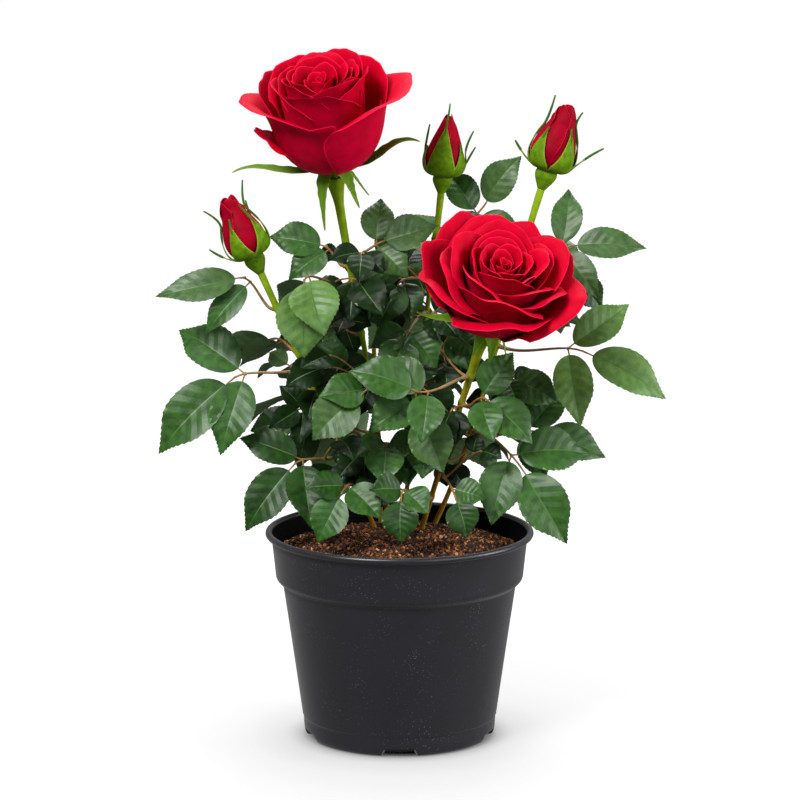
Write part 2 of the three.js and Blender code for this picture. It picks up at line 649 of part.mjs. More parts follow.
/** Whether the points stay fromCane clear of the canes, and clear of the flowers' spaces and the leaves placed so
 *  far. A spray's ribs may meet each other, because they are one stem. */
function isFree(points, fromCane, owner) {
  for (const cane of Object.values(canes)) {
    for (let k = 0; k < CANE.steps; k++) {
      const [a, b] = [cane.curve.getPoint(k / CANE.steps), cane.curve.getPoint((k + 1) / CANE.steps)];
      const clear = cane.radiusAt(k / CANE.steps) + fromCane;
      if (points.some((p) => distanceToSpan(p, a, b) < clear)) return false;
    }
  }
  for (const { middle, radius } of flowerSpaces) {
    if (points.some((p) => p.distanceTo(middle) < radius)) return false;
  }
  const near = (q, least) => points.some((p) => p.distanceToSquared(q) < least ** 2);
  if (taken.leaf.some((one) => near(one.point, CLEAR.leaf))) return false;
  return !taken.rib.some((one) => one.owner !== owner && near(one.point, CLEAR.rib));
}

function take(kind, points, owner) {
  for (const point of points) taken[kind].push({ point, owner });
}

const flowerSpaces = [
  ...Object.values(BLOOMS).map((one) => [one, KEEP_OUT.bloom]),
  ...Object.values(BUDS).map((one) => [one, KEEP_OUT.bud]),
].map(([{ cane, size }, [height, radius]]) => ({
  middle: canes[cane].tip.clone().addScaledVector(canes[cane].axis, height * size),
  radius: radius * size,
}));

const sprays = Object.keys(SPRAYS).map((name, index) => ({ name, seed: index + 1, leaves: [] }));

/** Adds the leaf to its spray without the side leaflets that have no room. A leaf whose rib or end leaflet has none
 *  is left out. */
function addLeaf(spray, leaf) {
  const along = ribProbes(leaf.rib);
  if (!isFree(along, CLEAR.ribFromCane, spray)) return;
  const kept = leaf.leaflets.filter((leaflet) => isFree(leafProbes(leaflet), CLEAR.leafFromCane, spray));
  if (kept[0] !== leaf.leaflets[0]) return;
  take("rib", along, spray);
  for (const leaflet of kept) take("leaf", leafProbes(leaflet), spray);
  spray.leaves.push({ rib: leaf.rib, leaflets: kept });
}

for (const spray of sprays) {
  spray.leader = leadingLeaf(spray.name, spray.seed);
  addLeaf(spray, spray.leader);
}
for (const spray of sprays) {
  for (let k = 0; k < (SPRAYS[spray.name].more ?? 0); k++) {
    addLeaf(spray, furtherLeaf(spray.name, spray.leader, spray.seed, k));
  }
}

function spraySolid(spray, material) {
  const pieces = [];
  for (const { rib, leaflets } of spray.leaves) {
    pieces.push(limb(rib, TWIG.startRadius, TWIG.endRadius, TWIG.sides, TWIG.steps));
    for (const leaflet of leaflets) {
      pieces.push(blade(leafSurface(leaflet), LEAF.half, LEAF.across, LEAF.along));
    }
  }
  return named(spray.name, fuse(pieces), material);
}

// ---------------------------------------------------------------- the plant

function finish(color, roughness) {
  return new THREE.MeshStandardMaterial({ color, roughness, metalness: 0 });
}

const plant = new THREE.Group();
plant.add(potSolid(finish(0x2b2b2f, 0.45)));
plant.add(mixSolid(finish(0x3b2416, 0.95)));
for (const cane of Object.values(canes)) plant.add(caneSolid(cane, finish(0x7c8f2e, 0.55)));
for (const name of Object.keys(BLOOMS)) plant.add(bloomSolid(name, finish(0xc8051e, 0.6)));
for (const name of Object.keys(BUDS)) plant.add(budSolid(name, finish(0xa80d24, 0.6)));
for (const spray of sprays) plant.add(spraySolid(spray, finish(0x2f5a2a, 0.5)));

export default plant;
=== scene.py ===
"""A rose bush in bloom in its nursery pot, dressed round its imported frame.

Sizes are in millimetres in the part's own frame, +Z up and -Y to the front. A Draft turns them into metres.
"""
import logging
import math
from collections.abc import Mapping, Sequence
from dataclasses import dataclass, field, replace
from enum import Enum
from typing import Any

import bpy
import numpy as np
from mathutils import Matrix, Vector


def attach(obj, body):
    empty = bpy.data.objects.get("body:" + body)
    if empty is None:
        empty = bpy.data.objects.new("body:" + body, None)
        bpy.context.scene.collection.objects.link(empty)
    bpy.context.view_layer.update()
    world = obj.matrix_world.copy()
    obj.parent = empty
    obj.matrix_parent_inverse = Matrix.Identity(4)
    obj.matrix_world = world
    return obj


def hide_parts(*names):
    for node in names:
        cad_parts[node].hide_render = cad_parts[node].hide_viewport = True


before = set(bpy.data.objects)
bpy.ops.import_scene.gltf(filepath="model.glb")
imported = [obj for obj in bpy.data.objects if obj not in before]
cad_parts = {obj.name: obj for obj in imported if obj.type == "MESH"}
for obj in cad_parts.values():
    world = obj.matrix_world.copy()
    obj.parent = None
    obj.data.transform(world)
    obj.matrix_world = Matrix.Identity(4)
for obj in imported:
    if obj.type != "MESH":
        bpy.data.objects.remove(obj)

Array = np.ndarray

LOG = logging.getLogger("rose_bush")
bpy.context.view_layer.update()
METRE = 0.001  # metres in a millimetre
RAD = math.pi / 180.0
GAP = 0.3  # clearance between two of the frame's solids that touch
GOLDEN = 137.5  # degrees from one part to the next in a plant's spiral
UP = np.array([0.0, 0.0, 1.0])
RIGHT = np.array([1.0, 0.0, 0.0])
BACK = np.array([0.0, 1.0, 0.0])


# ---------------------------------------------------------------- directions, chance and curves


def vec(*values: float) -> Array:
    """A vector of floats."""
    return np.array(values, dtype=float)


def unit(v: Array) -> Array:
    """The vector at length 1."""
    return v / np.linalg.norm(v)


def square_to(a: Array, b: Array) -> Array:
    """The part of a that stands square to the unit vector b, at length 1."""
    return unit(a - b * float(a @ b))


def toward(heading: float, rise: float) -> Array:
    """A unit vector from its heading (0 = +X, 90 = +Y) and its rise above level.

    Args:
        heading: Degrees round the upright axis.
        rise: Degrees above level.

    Returns:
        The direction.
    """
    level = math.cos(rise * RAD)
    return vec(level * math.cos(heading * RAD), level * math.sin(heading * RAD), math.sin(rise * RAD))


def chance(seed: float, draw: float) -> float:
    """The same share from 0 to 1 each time for a seed and a draw."""
    wave = math.sin(seed * 12.9898 + draw * 78.233) * 43758.5453
    return wave - math.floor(wave)


def ramp(x: Array | float, low: float, high: float) -> Array:
    """0 up to low, 1 from high on, and a smooth rise between them."""
    share = np.clip((np.asarray(x, dtype=float) - low) / (high - low), 0.0, 1.0)
    return share * share * (3.0 - 2.0 * share)


@dataclass(frozen=True)
class Bend:
    """A cubic Bezier curve in space.

    Args:
        knots: Its four control points, one a row.
    """

    knots: Array

    def point(self, t: Array | float) -> Array:
        """Points of the curve.

        Args:
            t: A share of the curve, or many.

        Returns:
            The point at each share.
        """
        t = np.asarray(t, dtype=float)[..., None]
        a, b, c, d = self.knots
        return a * (1 - t) ** 3 + 3 * b * t * (1 - t) ** 2 + 3 * c * t * t * (1 - t) + d * t**3

    def tangent(self, t: float) -> Array:
        """The unit direction of the curve at the share t."""
        a, b, c, d = self.knots
        return unit((b - a) * (1 - t) ** 2 + 2 * (c - b) * t * (1 - t) + (d - c) * t * t)


# ---------------------------------------------------------------- finishes


def linear(colour: int) -> tuple[float, float, float, float]:
    """Turns an sRGB hex colour to linear light.

    Args:
        colour: The colour as 0xRRGGBB.

    Returns:
        Linear red, green and blue, and a full alpha.
    """
    parts = [(colour >> shift & 255) / 255.0 for shift in (16, 8, 0)]
    red, green, blue = (p / 12.92 if p <= 0.04045 else ((p + 0.055) / 1.055) ** 2.4 for p in parts)
    return (red, green, blue, 1.0)


def add_node(tree: Any, kind: str, settings: Mapping[str, Any], links: Mapping[str, Any]) -> Any:
    """Adds a node to a tree.

    Args:
        tree: The node tree.
        kind: The node's type name.
        settings: Values by input socket, or by the node's own setting where there is no such socket.
        links: Output sockets to draw from, by input socket.

    Returns:
        The node.
    """
    node = tree.nodes.new(kind)
    for name, value in settings.items():
        if hasattr(node, name):
            setattr(node, name, value)
        else:
            node.inputs[name].default_value = value
    for name, source in links.items():
        tree.links.new(source, node.inputs[name])
    return node


@dataclass(frozen=True)
class Finish:
    """A surface: a Principled shader with a mottled colour and a fine relief.

    Args:
        name: The material's name.
        colour: Its main colour, sRGB hex.
        shade: The colour that mottles it, sRGB hex.
        mottle_mm: Width of a patch of the mottling.
        mottle: Most that the mottling shows, from 0 to 1.
        roughness: Roughness of the surface.
        grain_mm: Width of a grain of the relief.
        relief_mm: Height of the relief.
        shader: Further values by the shader's own sockets.
    """

    name: str
    colour: int
    shade: int
    mottle_mm: float = 8.0
    mottle: float = 0.6
    roughness: float = 0.5
    grain_mm: float = 0.6
    relief_mm: float = 0.05
    shader: tuple[tuple[str, Any], ...] = ()

    def colour_socket(self, tree: Any, place: Any) -> Any:
        """The colour: the main one, mottled with the shade by a soft noise.

        Args:
            tree: The material's node tree.
            place: The socket with the place on the object, in metres.

        Returns:
            The socket that gives the colour.
        """
        patches = add_node(
            tree,
            "ShaderNodeTexNoise",
            {"Scale": 1.0 / (self.mottle_mm * METRE), "Detail": 2.0, "Roughness": 0.55},
            {"Vector": place},
        )
        share = add_node(
            tree,
            "ShaderNodeMapRange",
            {"From Min": 0.38, "From Max": 0.68, "To Min": 0.0, "To Max": self.mottle},
            {"Value": patches.outputs["Fac"]},
        )
        mix = add_node(tree, "ShaderNodeMix", {"data_type": "RGBA"}, {})
        mix.inputs[6].default_value = linear(self.colour)
        mix.inputs[7].default_value = linear(self.shade)
        tree.links.new(share.outputs["Result"], mix.inputs[0])
        return mix.outputs[2]

    def relief_socket(self, tree: Any, place: Any) -> Any:
        """The relief: a fine even noise.

        Args:
            tree: The material's node tree.
            place: The socket with the place on the object, in metres.

        Returns:
            The socket that gives the normal.
        """
        grain = add_node(
            tree,
            "ShaderNodeTexNoise",
            {"Scale": 1.0 / (self.grain_mm * METRE), "Detail": 1.0},
            {"Vector": place},
        )
        bump = add_node(
            tree,
            "ShaderNodeBump",
            {"Strength": 1.0, "Distance": self.relief_mm * METRE},
            {"Height": grain.outputs["Fac"]},
        )
        return bump.outputs["Normal"]

    def material(self) -> bpy.types.Material:
        """Makes the Blender material, once for each name.

        Returns:
            The material.
        """
        made = bpy.data.materials.get(self.name)
        if made is not None:
            return made
        made = bpy.data.materials.new(self.name)
        made.use_nodes = True
        tree = made.node_tree
        tree.nodes.clear()
        place = add_node(tree, "ShaderNodeTexCoord", {}, {}).outputs["Object"]
        shader = add_node(
            tree,
            "ShaderNodeBsdfPrincipled",
            {"Roughness": self.roughness, **dict(self.shader)},
            {"Base Color": self.colour_socket(tree, place), "Normal": self.relief_socket(tree, place)},
        )
        add_node(tree, "ShaderNodeOutputMaterial", {}, {"Surface": shader.outputs["BSDF"]})
        return made


@dataclass(frozen=True)
class DustyPolypropylene(Finish):
    """Injection-moulded black polypropylene, with pale dust and scuffs in specks as it has from the nursery.

    Args:
        dust: Colour of the specks, sRGB hex.
        speck_mm: Spacing of the specks.
        drift_mm: Width of a patch where they lie thicker.
    """

    dust: int = 0x4C4C52
    speck_mm: float = 1.9
    drift_mm: float = 22.0

    def colour_socket(self, tree: Any, place: Any) -> Any:
        """The mottled plastic with its specks of dust.

        Args:
            tree: The material's node tree.
            place: The socket with the place on the object, in metres.

        Returns:
            The socket that gives the colour.
        """
        plastic = super().colour_socket(tree, place)
        cells = add_node(
            tree,
            "ShaderNodeTexVoronoi",
            {"Scale": 1.0 / (self.speck_mm * METRE), "Randomness": 1.0},
            {"Vector": place},
        )
        drift = add_node(
            tree,
            "ShaderNodeTexNoise",
            {"Scale": 1.0 / (self.drift_mm * METRE), "Detail": 3.0},
            {"Vector": place},
        )
        reach = add_node(
            tree,
            "ShaderNodeMapRange",
            {"From Min": 0.35, "From Max": 0.7, "To Min": 0.04, "To Max": 0.2},
            {"Value": drift.outputs["Fac"]},
        )
        speck = add_node(tree, "ShaderNodeMath", {"operation": "LESS_THAN"}, {})
        tree.links.new(cells.outputs["Distance"], speck.inputs[0])
        tree.links.new(reach.outputs["Result"], speck.inputs[1])
        mix = add_node(tree, "ShaderNodeMix", {"data_type": "RGBA"}, {})
        mix.inputs[7].default_value = linear(self.dust)
        tree.links.new(speck.outputs["Value"], mix.inputs[0])
        tree.links.new(plastic, mix.inputs[6])
        return mix.outputs[2]


@dataclass(frozen=True)
class RipeningBark(Finish):
    """Young rose bark: green where it is this year's, turning tan and orange-brown towards the ground.

    Args:
        low: Colour near the ground, sRGB hex.
        low_z: Height up to which the bark is ripe.
        high_z: Height from which the bark is green.
        streak_mm: Width of a streak where the two meet.
        streak_rise: How far a streak runs up or down, in metres.
    """

    low: int = 0x8E681E
    low_z: float = 185.0
    high_z: float = 255.0
    streak_mm: float = 9.0
    streak_rise: float = 0.03

    def colour_socket(self, tree: Any, place: Any) -> Any:
        """The green bark that gives way to the ripe one lower down, in streaks.

        Args:
            tree: The material's node tree.
            place: The socket with the place on the object, in metres.

        Returns:
            The socket that gives the colour.
        """
        green = super().colour_socket(tree, place)
        parts = add_node(tree, "ShaderNodeSeparateXYZ", {}, {"Vector": place})
        streaks = add_node(
            tree,
            "ShaderNodeTexNoise",
            {"Scale": 1.0 / (self.streak_mm * METRE), "Detail": 2.0},
            {"Vector": place},
        )
        spread = add_node(
            tree,
            "ShaderNodeMapRange",
            {"From Min": 0.3, "From Max": 0.7, "To Min": -self.streak_rise, "To Max": self.streak_rise},
            {"Value": streaks.outputs["Fac"]},
        )
        height = add_node(tree, "ShaderNodeMath", {"operation": "ADD"}, {})
        tree.links.new(parts.outputs["Z"], height.inputs[0])
        tree.links.new(spread.outputs["Result"], height.inputs[1])
        share = add_node(
            tree,
            "ShaderNodeMapRange",
            {"From Min": self.low_z * METRE, "From Max": self.high_z * METRE},
            {"Value": height.outputs["Value"]},
        )
        mix = add_node(tree, "ShaderNodeMix", {"data_type": "RGBA"}, {})
        mix.inputs[6].default_value = linear(self.low)
        tree.links.new(share.outputs["Result"], mix.inputs[0])
        tree.links.new(green, mix.inputs[7])
        return mix.outputs[2]


@dataclass(frozen=True)
class OpalAcrylicPaintedShadow(Finish):
    """Opal acrylic of a light table that glows white, with a painted shadow: its glow is dimmed round the
    middle where the pot stands.

    Args:
        glow_with_painted_shadow: Strength of its glow by the distance from its middle in metres, low round
            the middle as a painted shadow of the pot.
    """

    # Painted shadow: no glow under the pot, dim at its foot, rising to nearly full far out.
    glow_with_painted_shadow: tuple[tuple[float, float], ...] = (
        (0.052, 0.0),
        (0.058, 0.16),
        (0.063, 0.42),
        (0.072, 0.6),
        (0.1, 0.7),
        (0.14, 0.75),
        (0.24, 0.8),
        (0.6, 0.94),
    )

    def material(self) -> bpy.types.Material:
        """Makes the Blender material, with its glow dimmed round the middle as a painted shadow.

        Returns:
            The material.
        """
        made = super().material()
        tree = made.node_tree
        shader = next(node for node in tree.nodes if node.type == "BSDF_PRINCIPLED")
        if shader.inputs["Emission Strength"].is_linked:
            return made
        place = add_node(tree, "ShaderNodeTexCoord", {}, {}).outputs["Object"]
        away = add_node(tree, "ShaderNodeVectorMath", {"operation": "LENGTH"}, {"Vector": place})
        fade = add_node(tree, "ShaderNodeValToRGB", {}, {"Fac": away.outputs["Value"]})
        stops = fade.color_ramp.elements
        # The glow set by distance paints the pot's shadow on the floor.
        for distance, strength in self.glow_with_painted_shadow:
            stops.new(distance).color = (strength, strength, strength, 1.0)
        stops.remove(stops[-1])
        stops.remove(stops[0])
        shader.inputs["Emission Color"].default_value = linear(0xFFFFFF)
        tree.links.new(fade.outputs["Color"], shader.inputs["Emission Strength"])
        return made


def leaf_cuticle(name: str, colour: int, shade: int, wax: float = 0.14) -> Finish:
    """Waxy upper skin of a rose leaf: a leathery crinkle under smooth wax, which gives a broad grey sheen.

    Args:
        name: The material's name.
        colour: Its main colour, sRGB hex.
        shade: The colour that mottles it, sRGB hex.
        wax: How much of the sheen shows, from 0 to 1.

    Returns:
        The finish.
    """
    skin = (("Coat Weight", wax), ("Coat Roughness", 0.36), ("Specular IOR Level", 0.08 + 1.5 * wax))
    return Finish(name, colour, shade, 5.0, 0.9, 0.44, 1.5, 0.09, skin)


def petal_velvet(name: str, colour: int, shade: int, sheen: float) -> Finish:
    """Papillate skin of a red petal: tiny cones swallow the light straight on and glow pink at the edges.

    Args:
        name: The material's name.
        colour: Its main colour, sRGB hex.
        shade: The colour that mottles it, sRGB hex.
        sheen: How much the glow shows, from 0 to 1.

    Returns:
        The finish.
    """
    nap = (
        ("Sheen Weight", sheen),
        ("Sheen Roughness", 0.35),
        ("Sheen Tint", linear(0xFF1446)),
        ("Specular IOR Level", 0.04),
    )
    return Finish(name, colour, shade, 9.0, 0.5, 0.55, 0.35, 0.02, nap)


class LeafTint(Enum):
    """The greens that a spray's upper sides are dealt, and a darkest one that paints shade on the finer
    leaves deep in the crown.
    """

    DEEP = leaf_cuticle("leaf_cuticle_deep", 0x204410, 0x122A08, 0.1)
    MID = leaf_cuticle("leaf_cuticle_mid", 0x305A1B, 0x1D3F10)
    GREY = leaf_cuticle("leaf_cuticle_grey", 0x3E5F2B, 0x2B471D)
    YOUNG = leaf_cuticle("leaf_cuticle_young", 0x567C36, 0x42652A)
    # Darkest green for the finer leaves deep in the crown: painted shade.
    OLD = leaf_cuticle("leaf_cuticle_painted_shade", 0x0F2807, 0x091B04, 0.03)


MATT = (("Specular IOR Level", 0.04),)  # for skins with hardly any shine
# Lower skin of a leaf: no wax, so pale and dull.
LEAF_UNDERSIDE = Finish("leaf_underside", 0x5E7F4C, 0x4E6F40, 6.0, 0.6, 0.7, 0.5, 0.04)
# Bundle of vessels along a leaf's middle: smooth and a clearer green than the blade.
LEAF_MIDRIB = Finish("leaf_midrib", 0x3E6622, 0x305618, 6.0, 0.4, 0.45, 0.5, 0.02)
# Stalk of a leaf on the side of the light: tinged red-brown, with a smooth skin.
LEAF_STALK = Finish("leaf_stalk", 0x8A6A2C, 0x6B3F1E, 5.0, 0.9, 0.5, 0.4, 0.03)
# Bark of this year's wood: dull and yellow-green, which ripens to tan lower down.
CANE_BARK = RipeningBark("young_rose_bark", 0x84A01A, 0x648612, 7.0, 0.8, 0.6, 0.5, 0.05, MATT)
# Skin of the hip and of the backs of the sepals: smooth light green.
SEPAL_BACK = Finish("sepal_back", 0x628A12, 0x45660C, 4.0, 0.8, 0.55, 0.4, 0.03, MATT)
# Inner face of a sepal: downy and whitish green.
SEPAL_FACE = Finish("sepal_face", 0x5C8220, 0x486A18, 4.0, 0.5, 0.7, 0.3, 0.03, MATT)
# Edge of a sepal: a lighter green that paints the light coming through its thin edge.
SEPAL_EDGE_PAINTED_LIGHT = Finish("sepal_edge_painted_light", 0x7E9430, 0x6A6A1E, 3.0, 0.5, 0.6, 0.3, 0.02, MATT)
# Thread at the end of a bud's sepal: a darker, older green.
SEPAL_TIP = Finish("sepal_tip", 0x3E661A, 0x2A4A12, 3.0, 0.5, 0.6, 0.3, 0.02, MATT)
# Inner skin of a petal: the clearest red, with the least glow.
PETAL_FACE = petal_velvet("petal_velvet_face", 0xBE0024, 0x9E001C, 0.12)
# Outer skin of a petal: a little cooler, with more glow.
PETAL_BACK = petal_velvet("petal_velvet_back", 0xBC002C, 0x940020, 0.2)
# Edge of a petal: a lighter pink-red that paints a highlight along the rim.
PETAL_RIM_PAINTED_HIGHLIGHT = petal_velvet("petal_rim_painted_highlight", 0xD80C3C, 0xC80830, 0.25)
# Petals of a bud: darker, with deep mottling.
BUD_PETAL = petal_velvet("bud_velvet", 0x94001C, 0x5C000E, 0.2)
SATIN = (("Specular IOR Level", 0.5), ("Sheen Weight", 0.12), ("Sheen Roughness", 0.4))
# Moulded polypropylene with carbon black: a satin skin that takes soft wide highlights.
POT_PLASTIC = DustyPolypropylene(
    "moulded_polypropylene", 0x1C1B21, 0x17161B, 30.0, 0.6, 0.33, 0.45, 0.02, SATIN
)
# The same plastic inside above the mix, painted near black and duller as shade in the pot's hollow.
POT_INSIDE_PAINTED_SHADE = Finish("polypropylene_painted_shade", 0x0B0B0D, 0x120D0A, 12.0, 0.7, 0.75, 0.6, 0.05, MATT)
# Composted bark and fibre: dull, moist and rough.
MIX_BED = Finish("moist_fibre", 0x1C1009, 0x0F0805, 4.0, 0.8, 0.9, 1.0, 0.5)
# Crumbs of bark, from wet and dark to dry and pale.
MIX_CHIPS = (
    Finish("bark_crumb_dark", 0x28160B, 0x180D06, 2.0, 0.7, 0.85, 0.4, 0.15),
    Finish("bark_crumb_brown", 0x502B12, 0x371C0B, 2.0, 0.7, 0.8, 0.4, 0.15),
    Finish("bark_crumb_orange", 0x8E4F1E, 0x703A12, 2.0, 0.7, 0.75, 0.4, 0.15),
    Finish("bark_crumb_pale", 0xC58A50, 0xA56A34, 2.0, 0.7, 0.75, 0.4, 0.15),
)
# Floor that glows white, with a painted shadow: its glow is dimmed round the pot's foot and rises slowly
# further out.
STUDIO_FLOOR = OpalAcrylicPaintedShadow("opal_acrylic_painted_shadow", 0x666666, 0x646464, 400.0, 0.3, 0.7, 2.0, 0.0)


# ---------------------------------------------------------------- meshes


@dataclass
class Draft:
    """Points and faces that become one piece.

    Args:
        name: The piece's name.
        finishes: Its finishes, by the index that the faces give.
        points: The points added so far, in millimetres.
        faces: The faces added so far, by the corners' numbers.
        coats: The index of each face's finish.
        count: How many points there are.
    """

    name: str
    finishes: Sequence[Finish]
    points: list[Array] = field(default_factory=list)
    faces: list[Array] = field(default_factory=list)
    coats: list[Array] = field(default_factory=list)
    count: int = 0

    def add(self, points: Array, faces: Array, coat: int | Array) -> None:
        """Adds faces with points of their own.

        Args:
            points: The points, one a row, in millimetres.
            faces: The corners of each face, three or four a row.
            coat: The index of the finish, for all the faces or for each.
        """
        self.points.append(points.reshape(-1, 3))
        self.faces.append(faces + self.count)
        self.coats.append(np.broadcast_to(np.asarray(coat, dtype=np.int32), (len(faces),)))
        self.count += points.size // 3

    def piece(self, slot: str, nodes: Sequence[str], crease: float = 50.0) -> bpy.types.Object:
        """Makes the object, which rides on the part and stands for its nodes.

        Args:
            slot: Not used.
            nodes: The frame's nodes that it replaces.
            crease: The angle in degrees from which an edge shows as an edge.

        Returns:
            The object.
        """
        mesh = bpy.data.meshes.new(self.name)
        corners = [row for faces in self.faces for row in faces.tolist()]
        mesh.from_pydata(np.concatenate(self.points) * METRE, [], corners)
        for finish in self.finishes:
            mesh.materials.append(finish.material())
        mesh.polygons.foreach_set("material_index", np.concatenate(self.coats).astype(np.int32))
        mesh.polygons.foreach_set("use_smooth", np.ones(len(corners), dtype=bool))
        mesh.set_sharp_from_angle(angle=crease * RAD)
        mesh.update()
        piece = bpy.data.objects.new(self.name, mesh)
        bpy.context.scene.collection.objects.link(piece)
        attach(piece, "root")
        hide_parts(*nodes)
        triangles = sum(len(faces) * (faces.shape[1] - 2) for faces in self.faces)
        LOG.info("%s: %d triangles", self.name, triangles)
        return piece


def grid_faces(rows: int, columns: int) -> Array:
    """The faces of a grid of points.

    Args:
        rows: Rows of faces.
        columns: Faces in a row.

    Returns:
        The four corners of each face, counted row by row.
    """
    start = np.arange(rows)[:, None] * (columns + 1) + np.arange(columns)[None, :]
    return np.stack([start, start + 1, start + columns + 2, start + columns + 1], -1).reshape(-1, 4)


def ring_faces(rings: int, sides: int) -> Array:
    """The faces between rings of points.

    Args:
        rings: How many rings there are.
        sides: Points in a ring.

    Returns:
        The four corners of each face, counted ring by ring.
    """
    start = np.arange(rings - 1)[:, None] * sides
    first = np.arange(sides)[None, :]
    after = (first + 1) % sides
    corners = [start + first, start + after, start + sides + after, start + sides + first]
    return np.stack(corners, -1).reshape(-1, 4)


def grid_normals(points: Array) -> Array:
    """The unit normals at a grid of points, from their neighbours' places."""
    normals = np.cross(np.gradient(points, axis=1), np.gradient(points, axis=0))
    return normals / np.maximum(np.linalg.norm(normals, axis=-1, keepdims=True), 1e-9)


@dataclass(frozen=True)
class Coats:
    """The finishes of a blade's faces, by index.

    Args:
        face: Its upper or inner side.
        back: Its other side.
        middle: The narrow strip along its middle, on both sides.
        edge: The outermost faces on both sides.
    """

    face: int
    back: int
    middle: int | None = None
    edge: int | None = None


def blade(draft: Draft, middle: Array, half: float, coats: Coats) -> None:
    """Adds a closed thin blade that comes to nothing at its rim.

    Args:
        draft: The draft that takes it.
        middle: The grid of points of its middle surface.
        half: Half its thickness.
        coats: Its finishes.
    """
    rows, columns = middle.shape[0] - 1, middle.shape[1] - 1
    normals = grid_normals(middle)
    inside = np.zeros(middle.shape[:2], dtype=bool)
    inside[1:-1, 1:-1] = True
    offset = normals * half * inside[..., None]
    number = np.arange(middle.shape[0] * middle.shape[1]).reshape(middle.shape[:2])
    lower = number.copy()
    lower[inside] = number.size + np.arange(int(inside.sum()))
    points = np.concatenate([(middle + offset).reshape(-1, 3), (middle - offset)[inside]])
    top = grid_faces(rows, columns)
    under = lower.reshape(-1)[top][:, ::-1]
    face = np.full((rows, columns), coats.face)
    back = np.full((rows, columns), coats.back)
    for side in (face, back):
        if coats.middle is not None:
            side[:, columns // 2] = coats.middle
        if coats.edge is not None:
            side[-1, :] = coats.edge
            side[:, [0, -1]] = coats.edge
    draft.add(points, np.concatenate([top, under]), np.concatenate([face.reshape(-1), back.reshape(-1)]))


def tube(draft: Draft, path: Array, radii: Array, sides: int, coat: int) -> None:
    """Adds a round limb along a path, closed at both ends.

    Args:
        draft: The draft that takes it.
        path: The points along its middle.
        radii: Its radius at each point.
        sides: Faces round it.
        coat: The index of its finish.
    """
    tangents = np.gradient(path, axis=0)
    tangents /= np.linalg.norm(tangents, axis=1, keepdims=True)
    across = [square_to(RIGHT if abs(tangents[0][0]) < 0.8 else UP, tangents[0])]
    for tangent in tangents[1:]:
        across.append(square_to(across[-1], tangent))
    side = np.array(across)
    other = np.cross(tangents, side)
    angle = np.arange(sides) * (2 * math.pi / sides)
    ring = np.cos(angle)[None, :, None] * side[:, None, :] + np.sin(angle)[None, :, None] * other[:, None, :]
    rings = path[:, None, :] + ring * radii[:, None, None]
    draft.add(rings, ring_faces(len(path), sides), coat)
    first = np.arange(sides)
    after = (first + 1) % sides
    for end, turned in ((0, True), (len(path) - 1, False)):
        fan = np.concatenate([rings[end], path[end][None, :]])
        faces = np.stack([first, after, np.full(sides, sides)], -1)
        draft.add(fan, faces[:, ::-1] if turned else faces, coat)


def lathe(profile: Array, sides: int) -> tuple[Array, Array]:
    """A profile turned about the upright axis.

    Args:
        profile: Pairs of radius and height.
        sides: Steps round the axis.

    Returns:
        The grid of points, profile by step, and its faces.
    """
    angle = np.arange(sides) * (2 * math.pi / sides)
    radius, height = profile[:, 0], profile[:, 1]
    points = np.stack(
        [
            radius[:, None] * np.cos(angle)[None, :],
            radius[:, None] * np.sin(angle)[None, :],
            np.broadcast_to(height[:, None], (len(profile), sides)),
        ],
        -1,
    )
    return points, ring_faces(len(profile), sides)


def rounded(knots: Sequence[tuple[float, float]], times: int = 3) -> Array:
    """A profile with its corners cut again and again, so that it runs smoothly.

    Args:
        knots: Pairs of radius and height; the first and the last stay.
        times: How often the corners are cut.

    Returns:
        The smooth profile.
    """
    line = np.array(knots, dtype=float)
    for _ in range(times):
        near = line[:-1] * 0.75 + line[1:] * 0.25
        far = line[:-1] * 0.25 + line[1:] * 0.75
        cut = np.stack([near, far], 1).reshape(-1, 2)
        line = np.concatenate([line[:1], cut[1:-1], line[-1:]])
    return line


# ---------------------------------------------------------------- pot and mix


